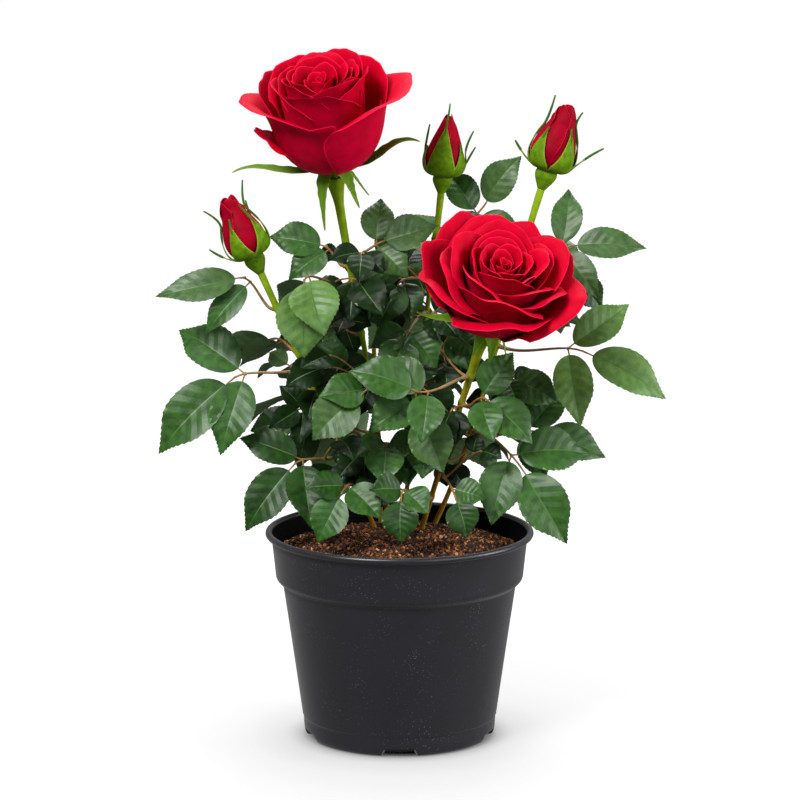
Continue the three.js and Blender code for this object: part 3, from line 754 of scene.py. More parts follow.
@dataclass(frozen=True)
class NurseryPot:
    """The round nursery pot: a rolled lip, a deep band, a tapering body and a foot with notches.

    Args:
        height: From the underside to the top of the lip.
        lip_radius: Outer radius of the lip.
        bead: Radius of the lip's rolled edge.
        band_top: Outer radius of the band at its top.
        band_foot: Outer radius of the band at its foot.
        band_foot_z: Height of the band's foot.
        body_top: Outer radius of the body under the band.
        body_top_z: Height of the body's top.
        body_foot: Outer radius of the body above its foot.
        body_foot_z: Height where the foot begins.
        foot: Outer radius of the underside.
        wall: Thickness of the wall.
        floor_z: Height of the floor inside.
        notches: Notches round the foot.
        notch_width: Width of a notch at the foot's edge.
        notch_height: Height of a notch.
        notch_depth: How far a notch reaches in under the pot.
    """

    height: float = 133.0
    lip_radius: float = 85.0
    bead: float = 2.1
    band_top: float = 81.0
    band_foot: float = 78.5
    band_foot_z: float = 104.0
    body_top: float = 73.8
    body_top_z: float = 98.5
    body_foot: float = 62.0
    body_foot_z: float = 14.0
    foot: float = 57.5
    wall: float = 1.6
    floor_z: float = 6.5
    notches: int = 5
    notch_width: float = 20.0
    notch_height: float = 5.5
    notch_depth: float = 11.0

    PAINTED_SHADE_ROWS = 6  # rows of its section, from the lip down its inner side, that take the painted shade
    SIDES = 360
    CREASE = 40.0  # degrees from which an edge shows as an edge

    def profile(self) -> Array:
        """The section of the pot, from the middle of its underside over the lip to its floor.

        Returns:
            Pairs of radius and height.
        """
        under_lip = self.height - 2 * self.bead - 0.6
        inner = self.foot - self.notch_depth
        bead_x, bead_z = self.lip_radius - self.bead, self.height - self.bead
        lip = [
            (bead_x + self.bead * math.cos(a * RAD), bead_z + self.bead * math.sin(a * RAD))
            for a in range(-70, 200, 18)
        ]
        outside = rounded(
            [
                (self.foot - 0.8, 0.0),
                (self.foot + 1.6, 0.6),
                (self.body_foot - 1.4, 3.0),
                (self.body_foot - 0.9, 8.0),
                (self.body_foot - 0.75, self.body_foot_z - 1.0),
                (self.body_foot - 0.1, self.body_foot_z - 0.4),
                (self.body_foot, self.body_foot_z + 0.6),
                (self.body_top - 6.0, 56.0),
                (self.body_top, self.body_top_z - 1.5),
                (self.body_top + 0.3, self.body_top_z + 0.6),
                (self.band_foot - 1.2, self.band_foot_z - 2.9),
                (self.band_foot, self.band_foot_z - 0.8),
                (self.band_foot + 0.2, self.band_foot_z + 2.0),
                (self.band_top, under_lip - 0.8),
                (self.band_top + 0.5, under_lip + 0.2),
            ],
            2,
        )
        inside = [
            (self.band_top - self.wall, under_lip),
            (self.band_foot - self.wall, self.band_foot_z),
            (self.body_top - self.wall, self.body_top_z),
            (self.body_foot - self.wall - 0.6, self.body_foot_z),
            (self.foot, self.floor_z),
            (0.0, self.floor_z),
        ]
        underside = [(0.0, 0.0), (inner - 0.1, 0.0), (inner, 0.0), (inner + 4.0, 0.0)]
        return np.array([*underside, *outside.tolist(), *lip, *inside])

    def build(self) -> None:
        """Makes the pot, with its notches drawn up into the foot."""
        points, faces = lathe(self.profile(), self.SIDES)
        angle = np.arange(self.SIDES) * (2 * math.pi / self.SIDES)
        pitch = 2 * math.pi / self.notches
        away = np.abs((angle + math.pi / 2 + pitch / 2) % pitch - pitch / 2) * self.foot
        half = self.notch_width / 2
        lift = self.notch_height * (1 - ramp(away, half - 1.0, half + 1.5))
        radius = np.hypot(points[..., 0], points[..., 1])
        height = points[..., 2]
        lifted = (radius > self.foot - self.notch_depth - 0.05) & (height < self.notch_height)
        points[..., 2] = np.where(lifted, np.maximum(height, lift[None, :]), height)
        rows = len(faces) // self.SIDES
        draft = Draft("pot_shell", (POT_PLASTIC, POT_INSIDE_PAINTED_SHADE))
        # The inner rows take the near-black finish: painted shade inside the pot.
        draft.add(points, faces, np.repeat(np.arange(rows) >= rows - self.PAINTED_SHADE_ROWS, self.SIDES))
        draft.piece("pot_plastic", ["nursery_pot"], self.CREASE)


@dataclass(frozen=True)
class PottingMix:
    """The heaped bark mix: a bed of moist fibre under loose crumbs of bark.

    Args:
        edge: Height of the mix at the wall.
        shoulder: Height at the shoulder of the heap.
        crown: Height of its level top.
        crown_radius: Radius of the level top.
        shoulder_radius: Radius of the shoulder.
        edge_radius: Radius of the mix at the wall.
        crumbs: How many crumbs lie on it.
        crumb: Shortest and longest side of a crumb.
    """

    edge: float = 118.0
    shoulder: float = 122.0
    crown: float = 127.0
    crown_radius: float = 46.0
    shoulder_radius: float = 66.0
    edge_radius: float = 77.6
    crumbs: int = 9000
    crumb: tuple[float, float] = (1.0, 3.1)

    BELOW = ((0.0, 7.0), (56.0, 7.0), (59.0, 14.0), (71.5, 98.8), (76.3, 104.3))  # section under the heap
    ROWS, SIDES = 40, 180  # steps of the heap from the wall to the middle, and round it
    SUNK = 0.9  # how far the fibre lies below the crumbs
    LUMP = 0.7  # height of its lumps
    SEED = 23
    SPIRAL = 2.399963  # radians from one crumb to the next
    DEALT = (0.38, 0.34, 0.2, 0.08)  # shares of the crumbs from dark to pale
    CREASE = 30.0  # degrees from which an edge of a crumb shows as an edge
    SIDE_CORNERS = ((0, 1, 3, 2), (4, 6, 7, 5), (0, 4, 5, 1), (2, 3, 7, 6), (0, 2, 6, 4), (1, 5, 7, 3))

    def height_at(self, radius: Array) -> Array:
        """The height of the heap.

        Args:
            radius: Distances from its middle.

        Returns:
            The height at each.
        """
        reach = [0.0, self.crown_radius - 5, self.crown_radius + 6, self.shoulder_radius, self.edge_radius]
        rise = [self.crown, self.crown, self.crown - 2.2, self.shoulder, self.edge]
        return np.interp(radius, reach, rise)

    def build_bed(self) -> None:
        """Makes the bed of fibre, closed down to the pot's floor."""
        radii = np.linspace(self.edge_radius, 0.0, self.ROWS)
        top = np.stack([radii, self.height_at(radii) - self.SUNK], -1)
        points, faces = lathe(np.concatenate([np.array(self.BELOW), top]), self.SIDES)
        heap = points[len(self.BELOW) :]
        x, y = heap[..., 0], heap[..., 1]
        lumps = np.sin(x * 0.71 + 1.3 * np.sin(y * 0.37)) * np.sin(y * 0.63 + 1.7 * np.sin(x * 0.29))
        heap[..., 2] += self.LUMP * lumps
        draft = Draft("mix_bed", (MIX_BED,))
        draft.add(points, faces, 0)
        draft.piece("bark_mix", ["potting_mix"])

    def build_crumbs(self) -> None:
        """Strews the crumbs: small rough blocks, turned every way, in four browns."""
        rng = np.random.default_rng(self.SEED)
        number = np.arange(self.crumbs)
        radius = (self.edge_radius - 0.8) * np.sqrt((number + 0.5) / self.crumbs)
        heading = number * self.SPIRAL + rng.uniform(-0.02, 0.02, self.crumbs)
        place = np.stack(
            [
                radius * np.cos(heading),
                radius * np.sin(heading),
                self.height_at(radius) + rng.uniform(-0.9, 0.7, self.crumbs),
            ],
            -1,
        )
        corners = np.array([(x, y, z) for x in (-1, 1) for y in (-1, 1) for z in (-1, 1)], dtype=float)
        low, high = self.crumb
        size = low + (high - low) * rng.uniform(0, 1, (self.crumbs, 3)) ** 1.8
        blocks = corners[None] * (size / 2)[:, None] * rng.uniform(0.55, 1.0, (self.crumbs, 8, 3))
        spin = np.linalg.qr(rng.normal(size=(self.crumbs, 3, 3)))[0]
        spin *= np.sign(np.linalg.det(spin))[:, None, None]
        points = np.einsum("nij,nkj->nki", spin, blocks) + place[:, None]
        faces = (np.array(self.SIDE_CORNERS)[None] + number[:, None, None] * 8).reshape(-1, 4)
        coat = rng.choice(len(MIX_CHIPS), self.crumbs, p=self.DEALT)
        draft = Draft("mix_crumbs", MIX_CHIPS)
        draft.add(points, faces, np.repeat(coat, len(self.SIDE_CORNERS)))
        draft.piece("bark_mix", ["potting_mix"], self.CREASE)


# ---------------------------------------------------------------- canes


@dataclass(frozen=True)
class Cane:
    """One cane, a smooth bend from the mix to its flower.

    Args:
        name: Its node.
        foot: Where it stands on the mix.
        leaves: Lean off upright and heading at its foot.
        tip: Its upper end.
        ends: Lean off upright and heading at its tip.
        radii: Radius at its foot and at its tip.
        neck: How much it swells under its flower.
    """

    name: str
    foot: tuple[float, float]
    leaves: tuple[float, float]
    tip: tuple[float, float, float]
    ends: tuple[float, float]
    radii: tuple[float, float]
    neck: float = 0.3

    RISE = 0.34  # share of the height that the direction at the foot reaches
    NOD = 0.3  # and that at the tip
    GROUND = 127.3  # height of its foot
    HALVINGS = 30  # steps of the search for a height
    STEPS, SIDES = 110, 16  # of its skin, along it and round it
    SUNK, HEAD = 5.0, 1.2  # how far it runs on into the mix, and into its flower
    SLIM = (0.56, 0.44)  # its least radius against the frame's, and what it gains by its tip
    FLARE = (1.3, 1.22, 1.12, 1.05)  # its radius at its first steps against the rule's
    NECK = 13.0  # how far from the tip the swollen neck reaches
    KNOT = (0.55, 2.1)  # height and half-width of the ring at a knot
    DENT = (0.12, 1.2, 3.4)  # depth and half-width of the groove below it, and how far below
    RIDGES, RIDGE = 5, 0.09  # ridges round it, and their height

    @property
    def axis(self) -> Array:
        """The direction in which the cane ends."""
        return toward(self.ends[1], 90 - self.ends[0])

    @property
    def curve(self) -> Bend:
        """The cane's middle.

        Returns:
            The curve from its foot to its tip.
        """
        foot = vec(*self.foot, self.GROUND)
        tip = vec(*self.tip)
        height = tip[2] - foot[2]
        rising = foot + toward(self.leaves[1], 90 - self.leaves[0]) * (self.RISE * height)
        return Bend(np.array([foot, rising, tip - self.axis * (self.NOD * height), tip]))

    def radius_at(self, share: Array | float) -> Array | float:
        """The cane's radius at a share of its curve."""
        return self.radii[0] + share * (self.radii[1] - self.radii[0])

    def share_at(self, z: float) -> float:
        """The share of the curve at a height.

        Args:
            z: The height.

        Returns:
            The share.
        """
        low, high = 0.0, 1.0
        for _ in range(self.HALVINGS):
            middle = (low + high) / 2
            if self.curve.point(middle)[2] < z:
                low = middle
            else:
                high = middle
        return low

    def build(self, knots: Sequence[float]) -> None:
        """Makes the cane with its bark: faint ridges along it, and a swollen ring at each knot.

        Args:
            knots: Heights at which stems leave it.
        """
        share = np.linspace(0.0, 1.0, self.STEPS)
        path = self.curve.point(share)
        sunk = path[0] - self.curve.tangent(0.0) * self.SUNK
        head = path[-1] + self.axis * self.HEAD
        path = np.concatenate([sunk[None], path, head[None]])
        share = np.concatenate([[0.0], share, [1.0]])
        slim = self.SLIM[0] + self.SLIM[1] * ramp(share, 0.5, 0.95)
        radii = self.radius_at(share) * slim * (1 + 0.02 * np.sin(path[:, 2] * 0.31 + self.foot[0]))
        radii[: len(self.FLARE)] *= np.array(self.FLARE)
        to_tip = np.linalg.norm(path - path[-1], axis=1)
        radii += self.neck * np.exp(-((to_tip / self.NECK) ** 2))
        (swell, swell_by), (dent, dent_by, below) = self.KNOT, self.DENT
        for z in knots:
            away = path[:, 2] - z
            groove = dent * np.exp(-(((away + below) / dent_by) ** 2))
            radii += swell * np.exp(-((away / swell_by) ** 2)) - groove
        draft = Draft(f"{self.name}_bark", (CANE_BARK,))
        tube(draft, path, radii, self.SIDES, 0)
        rings = draft.points[0].reshape(len(path), self.SIDES, 3)
        angle = np.arange(self.SIDES) * (2 * math.pi / self.SIDES)
        fade = np.sin(share * 9 + 1.0)[:, None] ** 2
        ridges = self.RIDGE * np.sin(self.RIDGES * angle)[None, :] * fade
        out = rings - path[:, None]
        draft.points[0] = (rings + out * (ridges / radii[:, None])[..., None]).reshape(-1, 3)
        draft.piece("cane_bark", [self.name])


CANES = {
    cane.name: cane
    for cane in (
        Cane("cane_left", (-16, 28), (22, 196), (-86, -12, 298), (24, 180), (2.7, 2.0)),
        Cane("cane_upper", (-7, 33), (7, 230), (-40, -4, 357), (17, 243), (3.3, 2.7), 3.0),
        Cane("cane_right", (14, 22), (22, -50), (53, -18, 263), (36, -70), (3.1, 3.2), 2.6),
        Cane("cane_centre", (3, 39), (4, 0), (26, 20, 344), (6, 10), (2.7, 1.9)),
        Cane("cane_far_right", (22, 35), (26, 5), (89, 24, 346), (18, 10), (2.9, 2.1)),
        Cane("cane_back", (-12, 44), (12, 100), (-18, 86, 268), (26, 95), (2.7, 1.6)),
    )
}
CANE_STEPS = 8  # straight stretches that stand for a cane where leaves feel for room


# ---------------------------------------------------------------- flowers


@dataclass(frozen=True)
class FlowerFrame:
    """The place of a flower: its root on the cane's tip, its axis, and two directions square to it.

    Args:
        cane: The cane that carries it.
        size: Its size against the flower's own measures.
        nod: Degrees that it bends to the front.
    """

    cane: Cane
    size: float
    nod: float = 0.0

    def place(self, points: Array) -> Array:
        """Sets points of the flower's own frame on the plant.

        Args:
            points: The points, with the flower's root at nought.

        Returns:
            The same points in the part's frame.
        """
        nod = self.nod * RAD
        upright = self.cane.axis
        axis = unit(upright * math.cos(nod) - square_to(BACK, upright) * math.sin(nod))
        right = square_to(RIGHT, axis)
        back = np.cross(axis, right)
        root = vec(*self.cane.tip) + axis * GAP
        return root + (points * self.size) @ np.array([right, back, axis])


@dataclass(frozen=True)
class Petal:
    """One petal of an open bloom, a blade that leans away from the axis as it rises.

    Args:
        turn: Its heading round the axis.
        root: Radius where it starts.
        height: Height where it starts.
        length: Its length.
        width: Its width.
        opens: Its lean off the axis at its root, along its wall and at its rim.
        curl: Further lean of its rim, which rolls it back.
        corners: Further lean of its two corners.
        skew: Further lean of its left corner over its right one.
        most: Most that any of it leans.
        cut: Share of its length that its corners are cut by.
        point: How pointed its rim is: low gives a point, high a broad round.
        loose: How flat it is against the ring that it stands in.
        lap: How far its left side stands out over its neighbour, and its right side in.
        wave: Height of the waves along its rim.
        tuck: Place across it, from 0 to 1, from which the side that is tucked in lies flat.
    """

    turn: float
    root: float
    height: float
    length: float
    width: float
    opens: tuple[float, float, float]
    curl: float
    corners: float
    skew: float
    most: float
    cut: float
    point: float
    loose: float
    lap: float
    wave: float
    tuck: float = 0.2

    WALL_AT = 0.6  # share of the length where the wall's lean is reached
    LAP_BY = 0.3  # share of the length by which the lap is full
    FOOT = 0.12  # width of its foot against its greatest
    BROAD_BY = 0.7  # share of the length by which it is at its widest
    STEPS = 72  # of the sum that gives its section
    ACROSS, ALONG = 23, 32  # points across it and along it, less its edges
    RIM_PLAY, TURN_PLAY = 8, 4  # degrees that its rim's lean and its heading are off, give or take
    LENGTH_PLAY = 0.05  # share that its length is off, give or take
    CORNERS_FROM = (0.45, 0.85)  # shares of the length between which its corners come to lean
    ROLL_FROM = (0.84, 1.0)  # and between which its rim comes to roll
    MOST_FROM = 0.4  # share of the length from which its lean is held to the most

    def sections(self, u: Array, v: Array, seed: float) -> tuple[Array, Array, Array]:
        """Where the petal's points lie along it.

        Args:
            u: Places across the petal, one a column, from -1 to 1.
            v: Places along it, one a row, from 0 to 1.
            seed: The seed of its own bends.

        Returns:
            The share of the length, the radius and the height of each point of the grid.
        """
        start, wall, end = self.opens
        middle = ((np.arange(self.STEPS) + 0.5) / self.STEPS)[:, None]
        limit = 1 - self.cut * np.abs(u) ** self.point
        reached = np.minimum(middle / limit, 1.0)
        rim = end + self.RIM_PLAY * (2 * chance(seed, 3) - 1)
        lower = wall + (start - wall) * np.clip(1 - middle / self.WALL_AT, 0, 1) ** 1.6
        upper = (rim - wall) * np.clip((reached - self.WALL_AT) / (1 - self.WALL_AT), 0, 1) ** 1.5
        free = 1 - 0.8 * ramp(-u * np.sign(self.lap), self.tuck, 1.0)
        sides = self.corners * u**2 * free + self.skew * u * np.abs(u)
        lean = lower + upper * free + sides * ramp(middle, *self.CORNERS_FROM)
        lean = lean + self.curl * free * ramp(reached, *self.ROLL_FROM)
        lean = np.where(middle > self.MOST_FROM, np.minimum(lean, self.most), lean)
        stride = self.length * (1 + self.LENGTH_PLAY * (2 * chance(seed, 2) - 1)) / self.STEPS
        nought = np.zeros((1, u.size))
        radius = self.root + np.concatenate([nought, np.cumsum(stride * np.sin(lean * RAD), 0)])
        height = self.height + np.concatenate([nought, np.cumsum(stride * np.cos(lean * RAD), 0)])
        share = v * limit
        at = np.arange(self.STEPS + 1) / self.STEPS
        columns = range(u.size)
        return (
            share,
            np.stack([np.interp(share[:, k], at, radius[:, k]) for k in columns], 1),
            np.stack([np.interp(share[:, k], at, height[:, k]) for k in columns], 1),
        )

    def surface(self, seed: float) -> Array:
        """The petal's middle surface, in the flower's frame.

        Args:
            seed: The seed of its own bends.

        Returns:
            Its grid of points.
        """
        u = np.concatenate([[-1.0], np.linspace(-0.98, 0.98, self.ACROSS), [1.0]])[None, :]
        v = np.concatenate([np.linspace(0.0, 0.99, self.ALONG) ** 0.9, [1.0]])[:, None]
        share, radius, height = self.sections(u, v, seed)
        spread = np.sin(math.pi / 2 * np.minimum(share / self.BROAD_BY, 1))
        half = self.width / 2 * (self.FOOT + (1 - self.FOOT) * spread)
        bend = radius * self.loose
        angle = u * half / bend
        out = radius - bend + bend * np.cos(angle) + self.lap * u * np.minimum(1, share / self.LAP_BY)
        across = bend * np.sin(angle)
        free = self.wave * ramp(v, 0.4, 1.0)
        swell = np.sin(2 * math.pi * (1.35 * u + chance(seed, 4)))
        ruffle = np.sin(2 * math.pi * (3.2 * u + chance(seed, 5)))
        out = out + free * (swell + 0.35 * ruffle)
        dip = np.sin(2 * math.pi * (1.9 * u + chance(seed, 6)))
        height = height + 0.7 * free * dip + 0.25 * free * ruffle
        turn = (self.turn + self.TURN_PLAY * (2 * chance(seed, 1) - 1)) * RAD
        c, s = math.cos(turn), math.sin(turn)
        return np.stack([out * c - across * s, out * s + across * c, height], -1)


@dataclass(frozen=True)
class Whorl:
    """A ring of petals that open alike.

    Args:
        turns: Heading of each petal.
        skews: Further lean of each petal's left corner over its right one.
        alike: What they share, as a petal.
        nod: Degrees that they bend to the front.
    """

    turns: tuple[float, ...]
    skews: tuple[float, ...]
    alike: Petal
    nod: float

    def petals(self) -> list[Petal]:
        """The petals, each at its own heading."""
        return [replace(self.alike, turn=turn, skew=skew) for turn, skew in zip(self.turns, self.skews)]


@dataclass(frozen=True)
class Sepal:
    """One sepal of a bloom, which bends back from the hip.

    Args:
        turn: Its heading round the axis.
        opens: Its lean off the axis at its root, along its wall and at its tip.
        length: Its length.
        width: Its greatest width.
        twist: Degrees that it turns round its own middle by its tip.
        full: Share of its length up to which it is broad.
    """

    turn: float
    opens: tuple[float, float, float]
    length: float
    width: float
    twist: float
    full: float = 0.3

    ROOT, HEIGHT = 3.7, 9.0  # radius and height where it starts
    STEPS = 48  # of the sum that gives its section
    ACROSS = (-1.0, -0.86, -0.45, 0.0, 0.45, 0.86, 1.0)
    BREADTH = (0.55, 0.9, 1.0, 0.88, 0.42, 0.2, 0.06)  # its width at seven places along it
    HALF = 0.3  # half its thickness

    def profile(self, shares: Array) -> tuple[Array, Array]:
        """Its radius and height at shares of its length, by adding up its lean.

        Args:
            shares: Shares of the length.

        Returns:
            The radii and the heights.
        """
        start, wall, end = self.opens
        v = (np.arange(self.STEPS) + 0.5) / self.STEPS
        at = Petal.WALL_AT
        lean = wall + (start - wall) * np.clip(1 - v / at, 0, 1) ** 1.6
        lean = (lean + (end - wall) * np.clip((v - at) / (1 - at), 0, 1) ** 1.5) * RAD
        stride = self.length / self.STEPS
        knots = np.arange(self.STEPS + 1) / self.STEPS
        radius = self.ROOT + np.concatenate([[0.0], np.cumsum(stride * np.sin(lean))])
        height = self.HEIGHT + np.concatenate([[0.0], np.cumsum(stride * np.cos(lean))])
        return np.interp(shares, knots, radius), np.interp(shares, knots, height)

    def build(self, draft: Draft, frame_of: FlowerFrame, coats: Coats) -> None:
        """Adds the sepal to a draft, on its flower.

        Args:
            draft: The draft that takes it.
            frame_of: The flower's frame.
            coats: Its finishes.
        """
        u = np.array(self.ACROSS)
        v = np.linspace(0.0, 1.0, 33)
        radius, rise = self.profile(v)
        step = np.gradient(np.stack([radius, rise], -1), axis=0)
        step /= np.linalg.norm(step, axis=1, keepdims=True)
        knots = (0.0, 0.14, self.full * 0.7, self.full, (self.full + 1) / 2, 0.9, 1.0)
        breadth = np.interp(v, knots, self.BREADTH)
        half = (self.width / 2 * breadth * (1 + 0.07 * np.sin(v * 37 + self.turn)))[:, None] * u[None, :]
        turned = (self.twist * RAD * v**0.6)[:, None]
        lift = 0.25 * np.abs(half) + half * np.sin(turned)
        side = half * np.cos(turned)
        out = radius[:, None] - step[:, 1][:, None] * lift
        up = rise[:, None] + step[:, 0][:, None] * lift
        c, s = math.cos(self.turn * RAD), math.sin(self.turn * RAD)
        points = np.stack([out * c - side * s, out * s + side * c, up], -1)
        blade(draft, frame_of.place(points), self.HALF, coats)


def add_lathe(draft: Draft, knots: Sequence[tuple[float, float]], frame_of: FlowerFrame, coat: int) -> None:
    """Adds a smooth turned body to a flower.

    Args:
        draft: The draft that takes it.
        knots: Pairs of radius and height along its section.
        frame_of: The flower's frame.
        coat: The index of its finish.
    """
    points, faces = lathe(rounded(knots), 36)
    draft.add(frame_of.place(points), faces, coat)


@dataclass(frozen=True)
class Bloom:
    """An open bloom on its hip.

    Args:
        name: Its node.
        cane: The cane that carries it.
        size: Its size against the measures of its petals.
        seed: The seed of its petals' own bends.
        whorls: Its rings of petals, from outside.
        opened: How far its heart has opened, against a heart just unfolding.
        deep: Length of the first petal of its heart.
        sepals: Its sepals.
    """

    name: str
    cane: str
    size: float
    seed: int
    whorls: tuple[Whorl, ...]
    opened: float
    deep: float
    sepals: tuple[Sepal, ...]

    HIP = ((0.0, 0.0), (2.8, 0.0), (3.3, 1.0), (5.0, 3.4), (6.5, 6.0), (6.6, 8.6), (5.4, 11.5), (0.0, 12.4))
    HEART = 14  # petals wound in the middle, each a golden angle on from the last
    FIRST = 40  # degrees that the first of them is turned back
    HALF = 0.28  # half a petal's thickness

    def heart(self) -> list[Petal]:
        """The petals of the middle, wound ever tighter.

        Returns:
            The petals, from the outermost.
        """
        wound = []
        for k in range(self.HEART):
            inward = k / (self.HEART - 1)
            wound.append(
                Petal(
                    turn=GOLDEN * k - self.FIRST,
                    root=7.0 - 6.0 * inward,
                    height=11.0 + 1.0 * inward,
                    length=self.deep - 8.0 * inward,
                    width=50.0 - 35.0 * inward,
                    opens=(
                        34 - 30 * inward,
                        (3 - 5 * inward) * self.opened,
                        (16 - 14 * inward) * self.opened,
                    ),
                    curl=22 - 12 * inward,
                    corners=6 - 5 * inward,
                    skew=0.0,
                    most=90.0,
                    cut=0.24,
                    point=2.4,
                    loose=1.0,
                    lap=2.2 - 1.6 * inward,
                    wave=0.6 - 0.5 * inward,
                )
            )
        return wound

    def petals(self) -> None:
        """Makes the petals, from the outer rings to the heart."""
        draft = Draft(f"{self.name}_petals", (PETAL_FACE, PETAL_BACK, PETAL_RIM_PAINTED_HIGHLIGHT))
        outer = [(petal, whorl.nod) for whorl in self.whorls for petal in whorl.petals()]
        inner = [(petal, self.whorls[-1].nod) for petal in self.heart()]
        for number, (petal, nod) in enumerate((*outer, *inner)):
            place = FlowerFrame(CANES[self.cane], self.size, nod)
            points = place.place(petal.surface(self.seed + number * 1.7))
            # The edge faces take the lighter red: a painted highlight along each rim.
            blade(draft, points, self.HALF, Coats(face=1, back=0, edge=2))
        draft.piece("petals", [self.name])

    def calyx(self) -> None:
        """Makes the hip and the sepals that hang from it."""
        place = FlowerFrame(CANES[self.cane], self.size)
        draft = Draft(f"{self.name}_calyx", (SEPAL_BACK, SEPAL_FACE, SEPAL_EDGE_PAINTED_LIGHT))
        add_lathe(draft, self.HIP, place, 0)
        for sepal in self.sepals:
            # The edges take the lighter green: painted light along them.
            sepal.build(draft, place, Coats(face=0, back=1, edge=2))
        draft.piece("petals", [self.name])


@dataclass(frozen=True)
class BudSepal:
    """One sepal of a bud: a broad foot that clasps the bud, and often a long thin tip that stands free.

    Args:
        turn: Its heading round the axis.
        clasps: Height up to which it lies on the bud.
        leans: Its lean off the axis just above that, and at its tip.
        length: Its length.
        width: Its greatest width.
    """

    turn: float
    clasps: float
    leans: tuple[float, float]
    length: float
    width: float = 13.0

    FOOT = 1.9  # length of the broad foot against its width
    THREAD = (0.25, 0.75, 0.7, 0.45)  # radius of the thin tip along it

    def foot(self) -> float:
        """The length of its broad foot."""
        return min(self.FOOT * self.width, self.length)


@dataclass(frozen=True)
class Bud:
    """A pointed bud: petals wound about each other, clasped by its sepals.

    Args:
        name: Its node.
        cane: The cane that carries it.
        size: Its size against the measures here.
        turn: Heading of its first petal.
        parted: How far the tips of its petals have come apart, in millimetres.
        sepals: Its sepals.
    """

    name: str
    cane: str
    size: float
    turn: float
    parted: float
    sepals: tuple[BudSepal, ...]

    HIP = ((0.0, 0.0), (2.2, 0.0), (2.9, 1.4), (4.4, 4.0), (6.1, 7.2), (6.4, 10.0), (5.2, 12.4), (0.0, 13.0))
    BODY = (
        (5.4, 11.4),
        (10.6, 13.4),
        (13.2, 19.5),
        (11.9, 28.0),
        (8.2, 37.0),
        (4.6, 44.5),
        (1.7, 50.5),
        (0.5, 52.5),
    )

    def radius_at(self, height: Array | float) -> Array:
        """The radius of the closed bud at each height."""
        line = rounded(self.BODY)
        return np.interp(height, line[:, 1], line[:, 0])

    def skin_at(self, height: Array | float) -> Array:
        """The radius that no wound petal stands out of at each height."""
        return 0.87 * self.radius_at(height) + 2.3 * (1 - 0.6 * ramp(height, 20.0, 50.0))

    def petal(self, index: int) -> Array:
        """The middle surface of one petal, which winds up round the bud.

        Args:
            index: Which petal, from the innermost.

        Returns:
            Its grid of points in the bud's frame.
        """
        u = np.concatenate([[-1.0], np.linspace(-0.97, 0.97, 21), [1.0]])[None, :]
        v = np.concatenate([np.linspace(0.0, 0.985, 28), [1.0]])[:, None]
        top = 52.0 - 0.7 * index - 1.8 * self.parted * chance(self.turn, index)
        height = 12.0 + (top - 12.0) * v * (1 - 0.2 * np.abs(u) ** 2.4)
        heading = (self.turn + 144 * index + 74 * u + 40 * v) * RAD
        lift = (0.2 * index + 1.3 * (u + 1) / 2 * ramp(v, 0.05, 0.4)) * (1 - 0.6 * ramp(height, 20.0, 50.0))
        part = self.parted * ramp(v, 0.8, 1.0) * (1 + 0.4 * u)
        radius = self.radius_at(height) * 0.87 + lift + part
        return np.stack([radius * np.cos(heading), radius * np.sin(heading), height + 0 * u], -1)

    def petals(self) -> None:
        """Makes the wound petals round a closed core."""
        place = FlowerFrame(CANES[self.cane], self.size)
        draft = Draft(f"{self.name}_petals", (BUD_PETAL, PETAL_BACK))
        core = [(0.0, 10.4), *[(radius * 0.8, height) for radius, height in self.BODY[:-2]], (0.0, 43.0)]
        add_lathe(draft, core, place, 0)
        for index in range(5):
            # Each petal's edge takes the lighter outer-skin red: a painted highlight along its rim.
            blade(draft, place.place(self.petal(index)), 0.25, Coats(face=0, back=0, edge=1))
        draft.piece("bud_petals", [self.name])

    def sepal(self, one: BudSepal) -> Array:
        """The middle surface of a sepal, in the bud's frame.

        Args:
            one: The sepal.

        Returns:
            Its grid of points.
        """
        rows = 64
        stride = one.length / rows
        radius, height = [5.6], [11.4]
        lean = 60.0
        for k in range(rows):
            if height[-1] < one.clasps:
                ahead = height[-1] + max(stride * math.cos(lean * RAD), 0.15)
                gain = float(self.skin_at(ahead)) + 0.5 - radius[-1]
                lean = math.atan2(gain, ahead - height[-1]) / RAD
            else:
                goal = one.leans[0] + (one.leans[1] - one.leans[0]) * k / rows
                lean += (goal - lean) * min(1.0, stride / 4.0)
            radius.append(radius[-1] + stride * math.sin(lean * RAD))
            height.append(height[-1] + stride * math.cos(lean * RAD))
        u = np.array([-1.0, -0.88, -0.45, 0.0, 0.45, 0.88, 1.0])[None, :]
        along = np.linspace(0.0, one.length, rows + 1)[:, None]
        foot = along / one.foot()
        broad = np.where(foot < 0.25, 0.72 + 1.12 * foot, np.clip((1 - foot) / 0.75, 0, 1) ** 1.05)
        half = np.maximum(one.width / 2 * broad, 0.3)
        out = np.array(radius)[:, None]
        angle = one.turn * RAD + u * half / np.maximum(out, half)
        return np.stack([out * np.cos(angle), out * np.sin(angle), np.array(height)[:, None] + 0 * u], -1)

    def calyx(self) -> None:
        """Makes the hip and the sepals that clasp the bud."""
        place = FlowerFrame(CANES[self.cane], self.size)
        draft = Draft(f"{self.name}_calyx", (SEPAL_BACK, SEPAL_FACE, SEPAL_EDGE_PAINTED_LIGHT, SEPAL_TIP))
        add_lathe(draft, self.HIP, place, 0)
        for one in self.sepals:
            points = place.place(self.sepal(one))
            # The edges take the lighter green: painted light along them.
            blade(draft, points, 0.32, Coats(face=0, back=1, edge=2))
            path = points[int(0.75 * len(points) * one.foot() / one.length) :, points.shape[1] // 2]
            radii = np.interp(np.linspace(0, 1, len(path)), (0.0, 0.25, 0.7, 1.0), one.THREAD)
            tube(draft, path, radii * self.size, 8, 3)
        draft.piece("bud_petals", [self.name])


